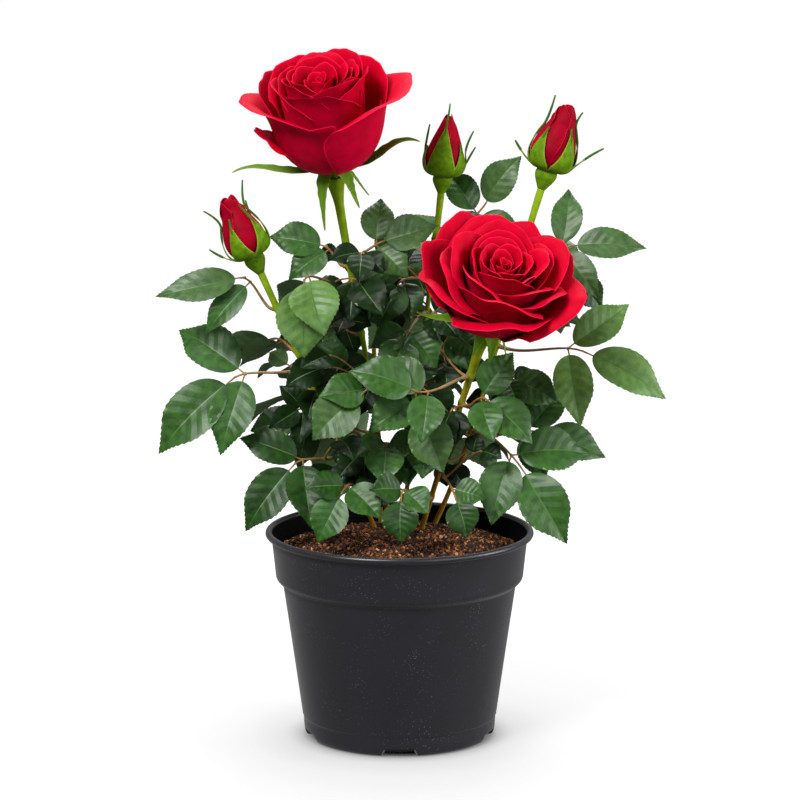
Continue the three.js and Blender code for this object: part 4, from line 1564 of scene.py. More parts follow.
def ring(
    turns: tuple[float, ...],
    skews: tuple[float, ...],
    root: float,
    length: float,
    width: float,
    opens: tuple[float, float, float],
    roll: tuple[float, float, float],
    sides: tuple[float, float, float, float, float],
    nod: float = 0.0,
    tuck: float = 0.2,
) -> Whorl:
    """A ring of petals from its measures.

    Args:
        turns: Heading of each petal.
        skews: Further lean of each petal's left corner over its right one.
        root: Radius where they start.
        length: Their length.
        width: Their width.
        opens: Their lean off the axis at the root, along the wall and at the rim.
        roll: Further lean of the rim and of the corners, and the most that any of it leans.
        sides: How much their corners are cut, how pointed and how flat they are, their lap and their waves.
        nod: Degrees that they bend to the front.
        tuck: Place across them from which the side that is tucked in lies flat.

    Returns:
        The ring.
    """
    curl, corners, most = roll
    return Whorl(
        turns,
        skews,
        Petal(0.0, root, 2.0 + root, length, width, opens, curl, corners, 0.0, most, *sides, tuck),
        nod,
    )


BLOOMS = (
    Bloom(
        name="bloom_upper",
        cane="cane_upper",
        size=1.0,
        seed=3,
        whorls=(
            ring((192,), (0,), 5.5, 56, 40, (95, 30, 50), (0, 6, 90), (0.24, 1.8, 1.1, 0.0, 0.8)),
            ring((0,), (0,), 5.5, 57, 50, (95, 18, 16), (8, 8, 90), (0.24, 2.2, 1.1, 0.0, 0.8)),
            ring(
                (-168,), (-20,), 6, 79, 104, (96, 9, 74), (12, -14, 88), (0.26, 2.4, 1.1, -2.2, 0.7), 1,
                0.88,
            ),
            ring(
                (-13,), (18,), 6, 82, 114, (96, 14, 84), (12, -14, 88), (0.19, 2.4, 1.1, -2.2, 0.7), 1,
                0.88,
            ),
            ring(
                (38, 98, 152), (4, 0, -4), 6, 73, 66, (96, 9, 12), (14, 8, 92),
                (0.24, 2.3, 1.0, -1.6, 0.6), 3,
            ),
            ring(
                (-92, -14, 54, 126, 204), (0, 0, 0, 0, -10), 7, 72, 60, (60, 3, 16), (26, 10, 90),
                (0.2, 2.6, 1.05, 3.2, 0.5), 8,
            ),
            ring(
                (-132, -54, 18, 90, 162), (0,) * 5, 7.5, 70, 54, (46, 1, 12), (22, 8, 90),
                (0.2, 2.6, 1.0, 2.6, 0.4), 9,
            ),
            ring(
                (-84, 6, 96, 186), (0,) * 4, 7.3, 68, 48, (36, 0, 8), (20, 6, 90),
                (0.2, 2.6, 1.0, 2.3, 0.4), 9,
            ),
        ),
        opened=1.0,
        deep=67.0,
        sepals=(
            Sepal(188, (106, 68, 114), 61, 9.5, -12, 0.55),
            Sepal(-12, (108, 54, 120), 58, 10.5, 30, 0.55),
            Sepal(-122, (112, 170, 174), 42, 12, 25),
            Sepal(-50, (108, 158, 150), 31, 12, -20),
            Sepal(-12, (118, 152, 146), 28, 4.5, 10),
            Sepal(-96, (100, 62, 20), 16, 3.6, 30),
            Sepal(80, (110, 150, 150), 30, 9, 10),
        ),
    ),
    Bloom(
        name="bloom_right",
        cane="cane_right",
        size=0.93,
        seed=8,
        whorls=(
            ring((-146, -88), (0, 0), 6, 75, 76, (82, 24, 62), (16, 22, 98), (0.28, 1.5, 1.2, -2.6, 0.5)),
            ring((-20,), (0,), 6, 80, 80, (82, 24, 60), (12, 16, 96), (0.32, 1.4, 1.2, -2.6, 0.5)),
            ring(
                (24, 70, 122, 174), (0,) * 4, 6, 73, 68, (82, 26, 54), (14, 18, 94),
                (0.32, 1.4, 1.2, 2.6, 0.5),
            ),
            ring(
                (-168, -96, -42, 30, 104), (0,) * 5, 7, 70, 66, (64, 17, 44), (26, 22, 92),
                (0.26, 1.8, 1.12, 3.0, 0.5),
            ),
            ring(
                (-124, -52, 20, 94, 168), (0,) * 5, 7.5, 67, 56, (50, 10, 30), (26, 16, 90),
                (0.24, 2.1, 1.05, 2.6, 0.4),
            ),
            ring(
                (-84, 6, 96, 186), (0,) * 4, 7.3, 64, 50, (38, 5, 20), (24, 12, 90),
                (0.24, 2.2, 1.0, 2.3, 0.4),
            ),
        ),
        opened=1.4,
        deep=60.0,
        sepals=(
            Sepal(184, (90, 94, 58), 46, 8, -16, 0.5),
            Sepal(-66, (112, 166, 170), 28, 12, 15),
            Sepal(-20, (112, 158, 150), 28, 12, -15),
            Sepal(-112, (116, 160, 166), 24, 10, -15),
            Sepal(60, (100, 120, 120), 30, 9, 10),
        ),
    ),
)
BUDS = (
    Bud(
        name="bud_left",
        cane="cane_left",
        size=1.06,
        turn=-60,
        parted=1.3,
        sepals=(
            BudSepal(-112, 36, (0, 0), 32, 15),
            BudSepal(-38, 40, (0, 0), 38, 15),
            BudSepal(14, 38, (6, 30), 50),
            BudSepal(50, 29, (0, 18), 36),
            BudSepal(190, 34, (4, 42), 43, 11),
            BudSepal(-162, 13, (52, 26), 23, 8),
            BudSepal(110, 28, (0, 10), 36),
        ),
    ),
    Bud(
        name="bud_centre",
        cane="cane_centre",
        size=0.98,
        turn=-40,
        parted=0.2,
        sepals=(
            BudSepal(-100, 52, (-10, 12), 54, 21),
            BudSepal(-36, 31, (0, 0), 27, 15),
            BudSepal(-166, 28, (0, 0), 24, 13),
            BudSepal(178, 24, (4, -8), 37),
            BudSepal(4, 26, (2, 26), 36),
            BudSepal(-16, 18, (16, 30), 27, 9),
            BudSepal(100, 28, (0, 12), 36),
        ),
    ),
    Bud(
        name="bud_far_right",
        cane="cane_far_right",
        size=1.12,
        turn=-100,
        parted=1.2,
        sepals=(
            BudSepal(-132, 32, (0, 0), 29, 15),
            BudSepal(-52, 35, (0, 0), 32, 16),
            BudSepal(172, 34, (-14, 4), 47),
            BudSepal(10, 39, (4, 26), 43),
            BudSepal(-12, 15, (26, 50), 31, 11),
            BudSepal(-168, 12, (58, 44), 21, 9),
            BudSepal(95, 28, (0, 12), 38),
        ),
    ),
)


# ---------------------------------------------------------------- foliage


@dataclass(frozen=True)
class Leaflet:
    """One leaflet.

    Args:
        foot: Where its stalk leaves the rib.
        tip: Its tip.
        wide: Its width.
        faces: Heading that its upper side turns to.
    """

    foot: Array
    tip: Array
    wide: float
    faces: float

    STALK = 0.1  # share of the leaflet that is its bare stalk
    ARCH = 0.07  # height of its arch over its length
    FOLD = 0.22  # rise of its halves from the midrib
    FACING = 32.0  # rise of the side it shows
    HALF = 0.2  # half its thickness
    COLUMNS = (-1.0, -0.8, -0.54, -0.28, -0.035, 0.035, 0.28, 0.54, 0.8, 1.0)
    STEPS = (0.0, 0.1, 0.5, 0.6)  # rows from one vein to the next, each a share of the way
    BASE = (0.0, 0.03, 0.1, 0.2, 0.34)  # and closer ones where the blade's round base begins

    @property
    def length(self) -> float:
        """Its length with its stalk."""
        return float(np.linalg.norm(self.tip - self.foot))

    def axes(self) -> tuple[Array, Array, Array]:
        """Its own directions: along it, up from its upper side, and across it.

        Returns:
            The three directions.
        """
        along = unit(self.tip - self.foot)
        up = square_to(toward(self.faces, self.FACING), along)
        return along, up, np.cross(along, up)

    def probes(self) -> Array:
        """The points that feel for room round it.

        Returns:
            The points, one a row.
        """
        u = (np.arange(7) / 3 - 1)[None, :]
        v = ((np.arange(2, 13) / 12) ** 1.3)[:, None]
        s = np.maximum(0, (v - self.STALK) / (1 - self.STALK))
        half = np.maximum(self.wide / 2 * s**0.5 * (1 - s) ** 0.8 / 0.42, np.where(v < 0.5, 1.0, 0.0))
        rise = self.ARCH * self.length * 4 * v * (1 - v) + self.FOLD * np.abs(u) * half
        along, up, side = self.axes()
        parts = (v + 0 * u, along * self.length), (rise, up), (u * half, side)
        return (self.foot + sum(share[..., None] * way for share, way in parts)).reshape(-1, 3)

    @staticmethod
    def breadth(s: Array) -> Array:
        """Its breadth over its greatest one, along its blade: round at the base and drawn out at the tip."""
        return s**0.58 * (1 - s) ** 0.84 / 0.384 * (1 - 0.45 * ramp(s, 0.6, 1.0))

    def build(self, draft: Draft, seed: float, tint: int, veins: int) -> None:
        """Adds its blade: toothed, creased at the midrib and quilted between the veins that its rows follow.

        Args:
            draft: The draft that takes it.
            seed: The seed of its own bends.
            tint: The index of its upper side's finish.
            veins: Pairs of side veins.
        """
        draws = [chance(seed, k) * 2 - 1 for k in range(6)]
        u = np.array(self.COLUMNS)[None, :]
        out = np.abs(u)
        onward = np.add.outer(np.arange(veins), self.STEPS).reshape(-1)[2:]
        phase = np.concatenate([self.BASE, onward, [veins]])
        base = (phase / veins)[:, None] ** 1.12
        broad = self.breadth(base)
        s = np.clip(base + 0.2 * out * broad, 0, 1)
        half = self.wide / 2 * self.breadth(s)
        tip_row = np.isin(np.round(phase % 1, 3), (0.0, 0.5))[:, None]
        tooth = np.where(tip_row, 0.32, -0.2) * (out == 1.0) * (self.wide / 26) * ramp(base, 0.04, 0.2)
        tooth = tooth * (1 - ramp(base, 0.93, 1.0))
        bulge = np.sin(math.pi * np.clip((phase % 1 - 0.1) / 0.9, 0, 1))[:, None] * np.sin(math.pi * out**0.7)
        crease = np.where(out < 0.1, -0.3, 0.0)
        relief = (0.027 * self.wide * bulge + crease) * np.sin(math.pi * np.clip(base * 1.04, 0, 1)) ** 0.5
        wave = 0.035 * self.wide * out**2 * np.sin(2 * math.pi * (1.4 * s + draws[0]) + np.sign(u) * draws[1])
        v = self.STALK + (1 - self.STALK) * s
        lift = self.ARCH * self.length * 4 * v * (1 - v) + (self.FOLD + 0.06 * draws[2]) * out * half
        lift = lift + relief + wave - (0.03 + 0.03 * draws[3]) * self.length * ramp(s, 0.6, 1.0)
        width = np.sign(u) * (out * half + tooth)
        twist = (14 * draws[4] * RAD) * s
        along, up, side = self.axes()
        sway = 0.03 * self.length * draws[5] * np.sin(math.pi * v)
        parts = (
            (v * self.length + 0.5 * np.maximum(tooth, 0), along),
            (lift + width * np.sin(twist), up),
            (width * np.cos(twist) + sway, side),
        )
        points = self.foot + sum(share[..., None] * way for share, way in parts)
        blade(draft, points, self.HALF, Coats(tint, LeafCoat.UNDERSIDE.value, LeafCoat.VEIN.value))

    def build_stalk(self, draft: Draft) -> None:
        """Adds the short stalk that carries the blade.

        Args:
            draft: The draft that takes it.
        """
        along, up, _ = self.axes()
        v = np.linspace(-0.02, self.STALK + 0.12, 5)
        rise = self.ARCH * self.length * 4 * v * (1 - v) - 0.25 - 0.02 * self.wide * np.sin(math.pi * v)
        path = self.foot + (v * self.length)[:, None] * along + rise[:, None] * up
        tube(draft, path, np.linspace(0.62, 0.3, 5), 6, 0)


class LeafCoat(Enum):
    """The finishes of a leaf by index, after its tints."""

    # Index of the darkest green, painted shade for the finer leaves.
    OLD = 4
    UNDERSIDE = 5
    VEIN = 6


@dataclass(frozen=True)
class CompoundLeaf:
    """A curved rib with leaflets, the end one first.

    Args:
        rib: The rib's middle, from the cane or an older rib to the end leaflet.
        leaflets: Its leaflets.
    """

    rib: Bend
    leaflets: tuple[Leaflet, ...]

    SUNK = 2.5  # how far the rib runs on into the end leaflet
    FIRST, STEP = 0.75, 0.25  # shares of the rib where the first pair stands, and between two pairs
    SPLAY = 62.0  # a side leaflet's angle off the rib
    SHARE, SHRINK = 0.84, 0.14  # its size against the end leaflet's, and how much less for each pair

    @classmethod
    def grown(
        cls, start: Array, out: Array, end: Leaflet, pairs: int, seed: int, hangs: bool, droop: float
    ) -> "CompoundLeaf":
        """A leaf that leaves start towards out and ends in the leaflet.

        Args:
            start: Where the rib begins.
            out: Its direction there.
            end: The end leaflet.
            pairs: Pairs of side leaflets behind it.
            seed: The seed of their turns.
            hangs: Whether it has only the lower one of each pair.
            droop: How much its side leaflets fall.

        Returns:
            The leaf.
        """
        span = float(np.linalg.norm(end.foot - start))
        along = unit(end.tip - end.foot)
        leaving = start + out * (0.35 * span)
        arriving = end.foot - along * (0.25 * span)
        rib = Bend(np.array([start, leaving, arriving, end.foot + along * cls.SUNK]))
        leaflets = [end]
        facing = toward(end.faces, Leaflet.FACING)
        for k in range(pairs):
            root = rib.point(cls.FIRST - cls.STEP * k)
            onward = rib.tangent(cls.FIRST - cls.STEP * k)
            square = unit(np.cross(onward, facing))
            upper = 1 if square[2] > 0 else -1
            for side in (-upper,) if hangs else (1, -1):
                jitter = chance(seed, 11 + 2 * k + (side + 1) / 2)
                splay = (cls.SPLAY + 16 * (jitter - 0.5)) * RAD
                way = onward * math.cos(splay) + square * (side * math.sin(splay)) - UP * droop
                size = (cls.SHARE - cls.SHRINK * k) * (0.92 + 0.16 * jitter)
                tip = root + unit(way) * (end.length * size)
                leaflets.append(Leaflet(root, tip, end.wide * size * 1.06, end.faces))
        return cls(rib, tuple(leaflets))

    def probes(self) -> Array:
        """The points that feel for room along the rib."""
        return self.rib.point(np.arange(4, 15) / 14)


@dataclass(frozen=True)
class Spray:
    """A stem that leaves its cane and carries a leading leaf, which further leaves branch off.

    Args:
        name: Its node.
        cane: The cane that carries it.
        z: The height where it leaves the cane.
        foot: Where the leading leaf's end leaflet starts.
        tip: Where that leaflet ends.
        wide: Its width.
        pairs: Pairs of leaflets behind it.
        more: Further leaves.
        faces: Heading that the upper sides turn to.
        hangs: Whether the leaf has only the lower one of each pair.
        tone: How light its greens are, from 0 to 3, as the tints are listed; partly its own greens and partly
            painted light and shade.
        droop: How much the side leaflets fall.
    """

    name: str
    cane: str
    z: float
    foot: tuple[float, float, float]
    tip: tuple[float, float, float]
    wide: float
    pairs: int = 1
    more: int = 0
    faces: float = -90.0
    hangs: bool = False
    tone: float = 1.0
    droop: float = 0.3

    FROM = 0.25  # share of the leading rib where the further leaves leave it
    SPLAY, SWING = 68.0, 24.0  # their angle off it, give or take
    RISE, TILT = 12.0, 26.0  # their climb, give or take
    REACH, LEAF = 0.78, 0.84  # their rib and end leaflet against the leading leaf's

    def leader(self, seed: int) -> CompoundLeaf:
        """The leading leaf, which leaves the cane square to it.

        Args:
            seed: The spray's seed.

        Returns:
            The leaf.
        """
        cane = CANES[self.cane]
        share = cane.share_at(self.z)
        middle = cane.curve.point(share)
        out = square_to(vec(*self.foot) - middle, cane.curve.tangent(share))
        start = middle + out * (cane.radius_at(share) + GAP)
        end = Leaflet(vec(*self.foot), vec(*self.tip), self.wide, self.faces)
        return CompoundLeaf.grown(start, out, end, self.pairs, seed, self.hangs, self.droop)

    def further(self, leader: CompoundLeaf, seed: int, k: int, size: float = 1.0) -> CompoundLeaf:
        """A further leaf, which swings to one side of the leading one.

        Args:
            leader: The leading leaf.
            seed: The spray's seed.
            k: Which further leaf.
            size: The size of its end leaflet against the rule's.

        Returns:
            The leaf.
        """

        def draw(n: int) -> float:
            """A share from -1 to 1, the same each time."""
            return chance(seed, 31 + 9 * k + n) * 2 - 1

        first = leader.leaflets[0]
        start = leader.rib.point(self.FROM)
        goal = first.foot - start
        reach = float(np.linalg.norm(goal)) * self.REACH * (1 + 0.15 * draw(1))
        side = 1 if (seed + k) % 2 else -1
        heading = math.atan2(goal[1], goal[0]) / RAD + side * (self.SPLAY + self.SWING * draw(2))
        rise = self.RISE + self.TILT * draw(3)
        foot = start + toward(heading, rise) * reach
        tip = foot + toward(heading + 20 * draw(4), rise - 45) * (first.length * self.LEAF * size)
        end = Leaflet(foot, tip, self.wide * self.LEAF * size, self.faces)
        out = leader.rib.tangent(self.FROM)
        return CompoundLeaf.grown(start, out, end, 1, seed + 50 + k, False, self.droop)


# Tones are partly the leaves' own greens and partly painted light and shade: higher where a spray catches the
# light, lower deep in the crown.
SPRAYS = (
    Spray(
        "foliage_left_upper", "cane_left", 276, (-97, -5, 295), (-152, -12, 284), 22, hangs=True,
        tone=1.5, droop=0.9,
    ),
    Spray("foliage_left_middle", "cane_left", 237, (-104, -4, 231), (-152, -12, 184), 33, more=1, tone=1.2),
    Spray("foliage_left_dark", "cane_left", 205, (-60, 26, 198), (-96, 32, 190), 22, hangs=True, tone=0.2),
    Spray("foliage_left_lower", "cane_left", 180, (-66, -15, 178), (-97, -25, 137), 27, tone=0.0),
    Spray("foliage_front_left", "cane_left", 160, (-36, -42, 165), (-51, -50, 135), 24, tone=0.4),
    Spray("foliage_front", "cane_right", 150, (1, -50, 164), (1, -58, 137), 23, tone=0.5),
    Spray("foliage_front_right", "cane_right", 170, (35, -45, 162), (42, -52, 139), 21, tone=0.5),
    Spray("foliage_right_lower", "cane_right", 206, (76, -20, 177), (105, -34, 131), 31, tone=1.3),
    Spray("foliage_right_fan", "cane_far_right", 190, (88, 8, 194), (131, 6, 178), 25, tone=1.0),
    Spray("foliage_right_inner", "cane_right", 214, (53, -18, 221), (83, -27, 193), 26, tone=1.2),
    Spray("foliage_right_middle", "cane_far_right", 246, (116, 0, 247), (168, -6, 218), 27, tone=3.0),
    Spray("foliage_right_dark", "cane_far_right", 222, (70, 12, 228), (100, 8, 213), 24, more=1, tone=0.6),
    Spray("foliage_right_upper", "cane_far_right", 300, (107, 15, 312), (155, 10, 311), 22, tone=2.1),
    Spray(
        "foliage_right_behind", "cane_far_right", 280, (108, 36, 292), (130, 34, 268), 20, more=1,
        tone=0.6,
    ),
    Spray("foliage_top_right", "cane_centre", 318, (53, 22, 336), (76, 22, 368), 22, tone=1.2),
    Spray("foliage_top_centre", "cane_upper", 306, (-12, 2, 316), (24, 2, 327), 24, tone=1.6),
    Spray(
        "foliage_upper_left", "cane_upper", 300, (-46, 12, 312), (-82, 16, 318), 23, hangs=True, tone=1.1,
    ),
    Spray("foliage_upper_front", "cane_upper", 290, (-59, -26, 296), (-59, -36, 249), 34, tone=3.0),
    Spray("foliage_centre_upper", "cane_centre", 290, (0, 8, 290), (-14, -8, 264), 24, tone=0.5),
    Spray("foliage_centre_right", "cane_right", 232, (11, -36, 228), (-31, -38, 242), 28, tone=1.5),
    Spray("foliage_centre", "cane_centre", 225, (12, -30, 214), (27, -42, 178), 28, tone=1.7),
    Spray("foliage_centre_left", "cane_upper", 226, (-24, -38, 226), (-54, -48, 200), 30, tone=1.6),
    Spray("foliage_low_centre", "cane_upper", 176, (-8, -12, 190), (-10, -34, 168), 24, tone=1.0),
    Spray("foliage_low_right", "cane_centre", 170, (20, 4, 190), (14, -14, 168), 24, more=1, tone=0.9),
    Spray("foliage_middle_high", "cane_centre", 268, (4, 4, 256), (-6, -14, 230), 26, tone=0.9),
    Spray("foliage_middle_left", "cane_left", 222, (-44, -2, 234), (-36, -18, 208), 26, tone=1.2),
    Spray("foliage_middle_right", "cane_centre", 236, (36, 22, 258), (44, 14, 232), 24, tone=0.6),
    Spray("foliage_core_right", "cane_far_right", 196, (68, 46, 214), (82, 42, 188), 26, tone=0.4),
    Spray("foliage_core_low", "cane_upper", 150, (-38, 42, 164), (-60, 44, 144), 24, hangs=True, tone=0.5),
    Spray("foliage_upper_dark", "cane_upper", 256, (-48, 20, 272), (-64, 26, 246), 24, tone=0.3),
    Spray(
        "foliage_back_high", "cane_back", 250, (-28, 104, 268), (-40, 142, 256), 28, pairs=2, more=1,
        faces=90, tone=1.9,
    ),
    Spray(
        "foliage_back_top", "cane_back", 264, (6, 84, 296), (24, 108, 318), 26, more=1, faces=90,
        tone=2.4,
    ),
    Spray(
        "foliage_back_middle", "cane_back", 215, (14, 88, 222), (34, 122, 198), 30, pairs=2, more=1,
        faces=90, tone=1.7,
    ),
    Spray(
        "foliage_back_left", "cane_left", 246, (-84, 50, 246), (-114, 82, 224), 30, pairs=2, faces=120,
        tone=1.2,
    ),
    Spray(
        "foliage_back_low", "cane_back", 180, (-36, 74, 176), (-54, 104, 144), 28, more=1, faces=90,
        tone=0.8,
    ),
    Spray(
        "foliage_back_right", "cane_far_right", 262, (84, 72, 262), (106, 108, 240), 30, pairs=2, more=1,
        faces=70, tone=1.4,
    ),
    Spray(
        "foliage_low_back", "cane_centre", 182, (44, 66, 180), (62, 98, 148), 28, more=1, faces=80,
        tone=1.0,
    ),
    Spray(
        "foliage_side_left", "cane_back", 184, (-64, 62, 208), (-98, 78, 186), 28, more=1, faces=150,
        tone=1.8,
    ),
    Spray(
        "foliage_back_centre", "cane_centre", 262, (30, 62, 268), (48, 96, 252), 28, more=1, faces=90,
        tone=2.2,
    ),
    Spray(
        "foliage_upper_back", "cane_upper", 268, (-52, 40, 282), (-78, 68, 268), 28, more=1, faces=120,
        tone=1.1,
    ),
)


@dataclass
class Room:
    """What has been placed so far, and whether more has room beside it.

    Args:
        leaf: Points on the leaflets placed.
        rib: Points on the ribs placed.
        owner: The number of the spray that owns each of those.
    """

    leaf: Array = field(default_factory=lambda: np.empty((0, 3)))
    rib: Array = field(default_factory=lambda: np.empty((0, 3)))
    owner: Array = field(default_factory=lambda: np.empty(0, dtype=int))

    LEAF_CLEAR, RIB_CLEAR = 5.2, 3.6  # least distances from placed leaflets and ribs
    LEAF_FROM_CANE, RIB_FROM_CANE = 3.0, 1.8  # and of leaflets and ribs from a cane's skin
    BLOOM_SPACE, BUD_SPACE = (46, 54), (26, 17)  # height of the middle over the root, and radius

    def flower_spaces(self) -> list[tuple[Array, float]]:
        """The middle and radius of the space that each flower keeps to itself.

        Returns:
            A pair for each flower.
        """
        spaces = []
        for flower in (*BLOOMS, *BUDS):
            height, radius = self.BLOOM_SPACE if isinstance(flower, Bloom) else self.BUD_SPACE
            cane = CANES[flower.cane]
            spaces.append((vec(*cane.tip) + cane.axis * (height * flower.size), radius * flower.size))
        return spaces

    def is_free(
        self, points: Array, from_cane: float, owner: int, leaf_clear: float, rib_clear: float
    ) -> bool:
        """Whether points keep clear of the canes, the flowers and what has been placed.

        Args:
            points: The points to place.
            from_cane: Least distance from a cane's skin.
            owner: The number of their spray, whose own ribs they may meet.
            leaf_clear: Least distance from placed leaflets.
            rib_clear: Least distance from placed ribs.

        Returns:
            Whether there is room.
        """
        for cane in CANES.values():
            knots = cane.curve.point(np.arange(CANE_STEPS + 1) / CANE_STEPS)
            for k in range(CANE_STEPS):
                span = knots[k + 1] - knots[k]
                share = np.clip((points - knots[k]) @ span / (span @ span), 0, 1)
                away = np.linalg.norm(points - knots[k] - share[:, None] * span, axis=1)
                if away.min() < cane.radius_at(k / CANE_STEPS) + from_cane:
                    return False
        for middle, radius in self.flower_spaces():
            if np.linalg.norm(points - middle, axis=1).min() < radius:
                return False
        if self.near(points, self.leaf, leaf_clear):
            return False
        return not self.near(points, self.rib[self.owner != owner], rib_clear)

    @staticmethod
    def near(points: Array, placed: Array, least: float) -> bool:
        """Whether any point comes nearer to a placed one than it may.

        Args:
            points: The points to place.
            placed: The points placed so far.
            least: The least distance.

        Returns:
            Whether one does.
        """
        low, high = points.min(0) - least, points.max(0) + least
        close = placed[np.all((placed > low) & (placed < high), axis=1)]
        if not len(close):
            return False
        return bool(((points[:, None] - close[None]) ** 2).sum(-1).min() < least**2)

    def admit(self, leaf: CompoundLeaf, owner: int, ease: float = 1.0) -> CompoundLeaf | None:
        """Places a leaf without the side leaflets that have no room.

        Args:
            leaf: The leaf.
            owner: The number of its spray.
            ease: The share of the usual clearances that it keeps.

        Returns:
            What is placed, or nothing where its rib or end leaflet has no room.
        """
        leaf_clear, rib_clear = self.LEAF_CLEAR * ease, self.RIB_CLEAR * ease
        along = leaf.probes()
        if not self.is_free(along, self.RIB_FROM_CANE * ease, owner, leaf_clear, rib_clear):
            return None
        kept = tuple(
            leaflet
            for leaflet in leaf.leaflets
            if self.is_free(leaflet.probes(), self.LEAF_FROM_CANE * ease, owner, leaf_clear, rib_clear)
        )
        if not kept or kept[0] is not leaf.leaflets[0]:
            return None
        self.rib = np.concatenate([self.rib, along])
        self.owner = np.concatenate([self.owner, np.full(len(along), owner)])
        self.leaf = np.concatenate([self.leaf, *(leaflet.probes() for leaflet in kept)])
        return CompoundLeaf(leaf.rib, kept)


@dataclass(frozen=True)
class Crown:
    """The space that the finer leaves keep within: an ellipsoid.

    Args:
        middle: Its middle.
        radii: Its reach along each direction.
    """

    middle: tuple[float, float, float] = (4.0, 22.0, 226.0)
    radii: tuple[float, float, float] = (96.0, 88.0, 94.0)

    def holds(self, point: Array) -> bool:
        """Whether a point lies in it."""
        return bool((((point - vec(*self.middle)) / vec(*self.radii)) ** 2).sum() < 1.0)


@dataclass
class Foliage:
    """The leaves: the sprays of the frame by their own rule, and finer leaves in the room between them.

    Args:
        shoots: Small leaves tried straight off each cane.
        draws: Further leaves tried on each spray.
        room: What has been placed so far.
        crown: The space that the finer leaves keep within.
        leaves: The leaves placed, each with its spray's number and whether it is a finer one.
    """

    shoots: int = 26
    draws: int = 9
    room: Room = field(default_factory=Room)
    crown: Crown = field(default_factory=Crown)
    leaves: list[tuple[int, CompoundLeaf, bool]] = field(default_factory=list)

    EASE = 0.56  # share of the clearances that the finer leaves keep
    PARTS = (("front", 0, 16), ("upper", 16, 30), ("back", 30, 40))

    def keep(self, number: int, leaf: CompoundLeaf, fine: bool) -> None:
        """Places a leaf if it has room.

        Args:
            number: The number of its spray.
            leaf: The leaf.
            fine: Whether it is one of the finer leaves.
        """
        placed = self.room.admit(leaf, number, self.EASE if fine else 1.0)
        if placed is not None:
            self.leaves.append((number, placed, fine))

    def grow(self) -> None:
        """Grows the sprays, then the finer leaves."""
        leaders = [spray.leader(number + 1) for number, spray in enumerate(SPRAYS)]
        for number, leader in enumerate(leaders):
            self.keep(number, leader, False)
        for number, spray in enumerate(SPRAYS):
            for k in range(spray.more):
                self.keep(number, spray.further(leaders[number], number + 1, k), False)
        count = sum(len(leaf.leaflets) for _, leaf, _ in self.leaves)
        LOG.info("foliage: %d leaflets on %d sprays", count, len(SPRAYS))
        for k in range(self.draws):
            for number, spray in enumerate(SPRAYS):
                leaf = spray.further(leaders[number], number + 1, 10 + k, 0.86)
                if self.crown.holds(leaf.leaflets[0].tip):
                    self.keep(number, leaf, True)
        for row, cane in enumerate(CANES.values()):
            for k in range(self.shoots):
                self.keep_shoot(row, cane, k)
        count = sum(len(leaf.leaflets) for _, leaf, _ in self.leaves)
        LOG.info("foliage: %d leaflets with the finer ones", count)

    def keep_shoot(self, row: int, cane: Cane, k: int) -> None:
        """Tries one small leaf straight off a cane.

        Args:
            row: The cane's number.
            cane: The cane.
            k: Which of its shoots.
        """
        draws = [chance(row + 71, 7 * k + n) for n in range(6)]
        share = 0.14 + 0.7 * (k + draws[0]) / self.shoots
        heading = k * 137.5 + 60 * row + 30 * draws[1]
        middle = cane.curve.point(share)
        out = square_to(toward(heading, 20), cane.curve.tangent(share))
        start = middle + out * (cane.radius_at(share) + GAP)
        foot = start + toward(heading, 4 + 34 * draws[2]) * (14 + 30 * draws[3])
        length = 22 + 8 * draws[4]
        tip = foot + toward(heading + 40 * (draws[5] - 0.5), -10 - 50 * draws[1]) * length
        end = Leaflet(foot, tip, length * 0.66, heading)
        leaf = CompoundLeaf.grown(start, out, end, 1 + k % 2, 200 + k, False, 0.3)
        if self.crown.holds(tip):
            number = min(range(len(SPRAYS)), key=lambda n: float(np.linalg.norm(vec(*SPRAYS[n].foot) - foot)))
            self.keep(number, leaf, True)

    def knots(self, cane: str) -> list[float]:
        """Heights at which the sprays leave a cane."""
        return [spray.z for spray in SPRAYS if spray.cane == cane]

    def build(self) -> None:
        """Makes the leaves and their ribs, in three parts."""
        tints = [tint.value for tint in LeafTint]
        for part, first, last in self.PARTS:
            names = [spray.name for spray in SPRAYS[first:last]]
            blades = Draft(f"leaves_{part}", (*tints, LEAF_UNDERSIDE, LEAF_MIDRIB))
            stalks = Draft(f"stalks_{part}", (LEAF_STALK,))
            for row, (number, leaf, fine) in enumerate(self.leaves):
                if not first <= number < last:
                    continue
                self.build_rib(stalks, leaf, fine)
                for k, leaflet in enumerate(leaf.leaflets):
                    seed = row * 13.7 + k * 3.1
                    tint = min(int(SPRAYS[number].tone + 0.9 * chance(seed, 9)), 3)
                    # The finer leaves take the darkest green as painted shade; the sprays take their tints.
                    leaflet.build(blades, seed, LeafCoat.OLD.value if fine else tint, 5 if fine else 7)
                    leaflet.build_stalk(stalks)
            blades.piece("leaves", names, 60.0)
            stalks.piece("leaves", names)

    def build_rib(self, stalks: Draft, leaf: CompoundLeaf, fine: bool) -> None:
        """Adds a leaf's rib, swollen where it leaves the cane.

        Args:
            stalks: The draft that takes it.
            leaf: The leaf.
            fine: Whether it is one of the finer leaves.
        """
        share = np.linspace(0.0, 1.0, 15)
        path = leaf.rib.point(share)
        root = path[0] - leaf.rib.tangent(0.0) * 2.6
        radii = (1.15 - 0.6 * share) * (0.72 if fine else 1.0) + 0.5 * np.exp(-((share * 18) ** 2))
        tube(stalks, np.concatenate([root[None], path]), np.concatenate([radii[:1], radii]), 7, 0)


# ---------------------------------------------------------------- studio


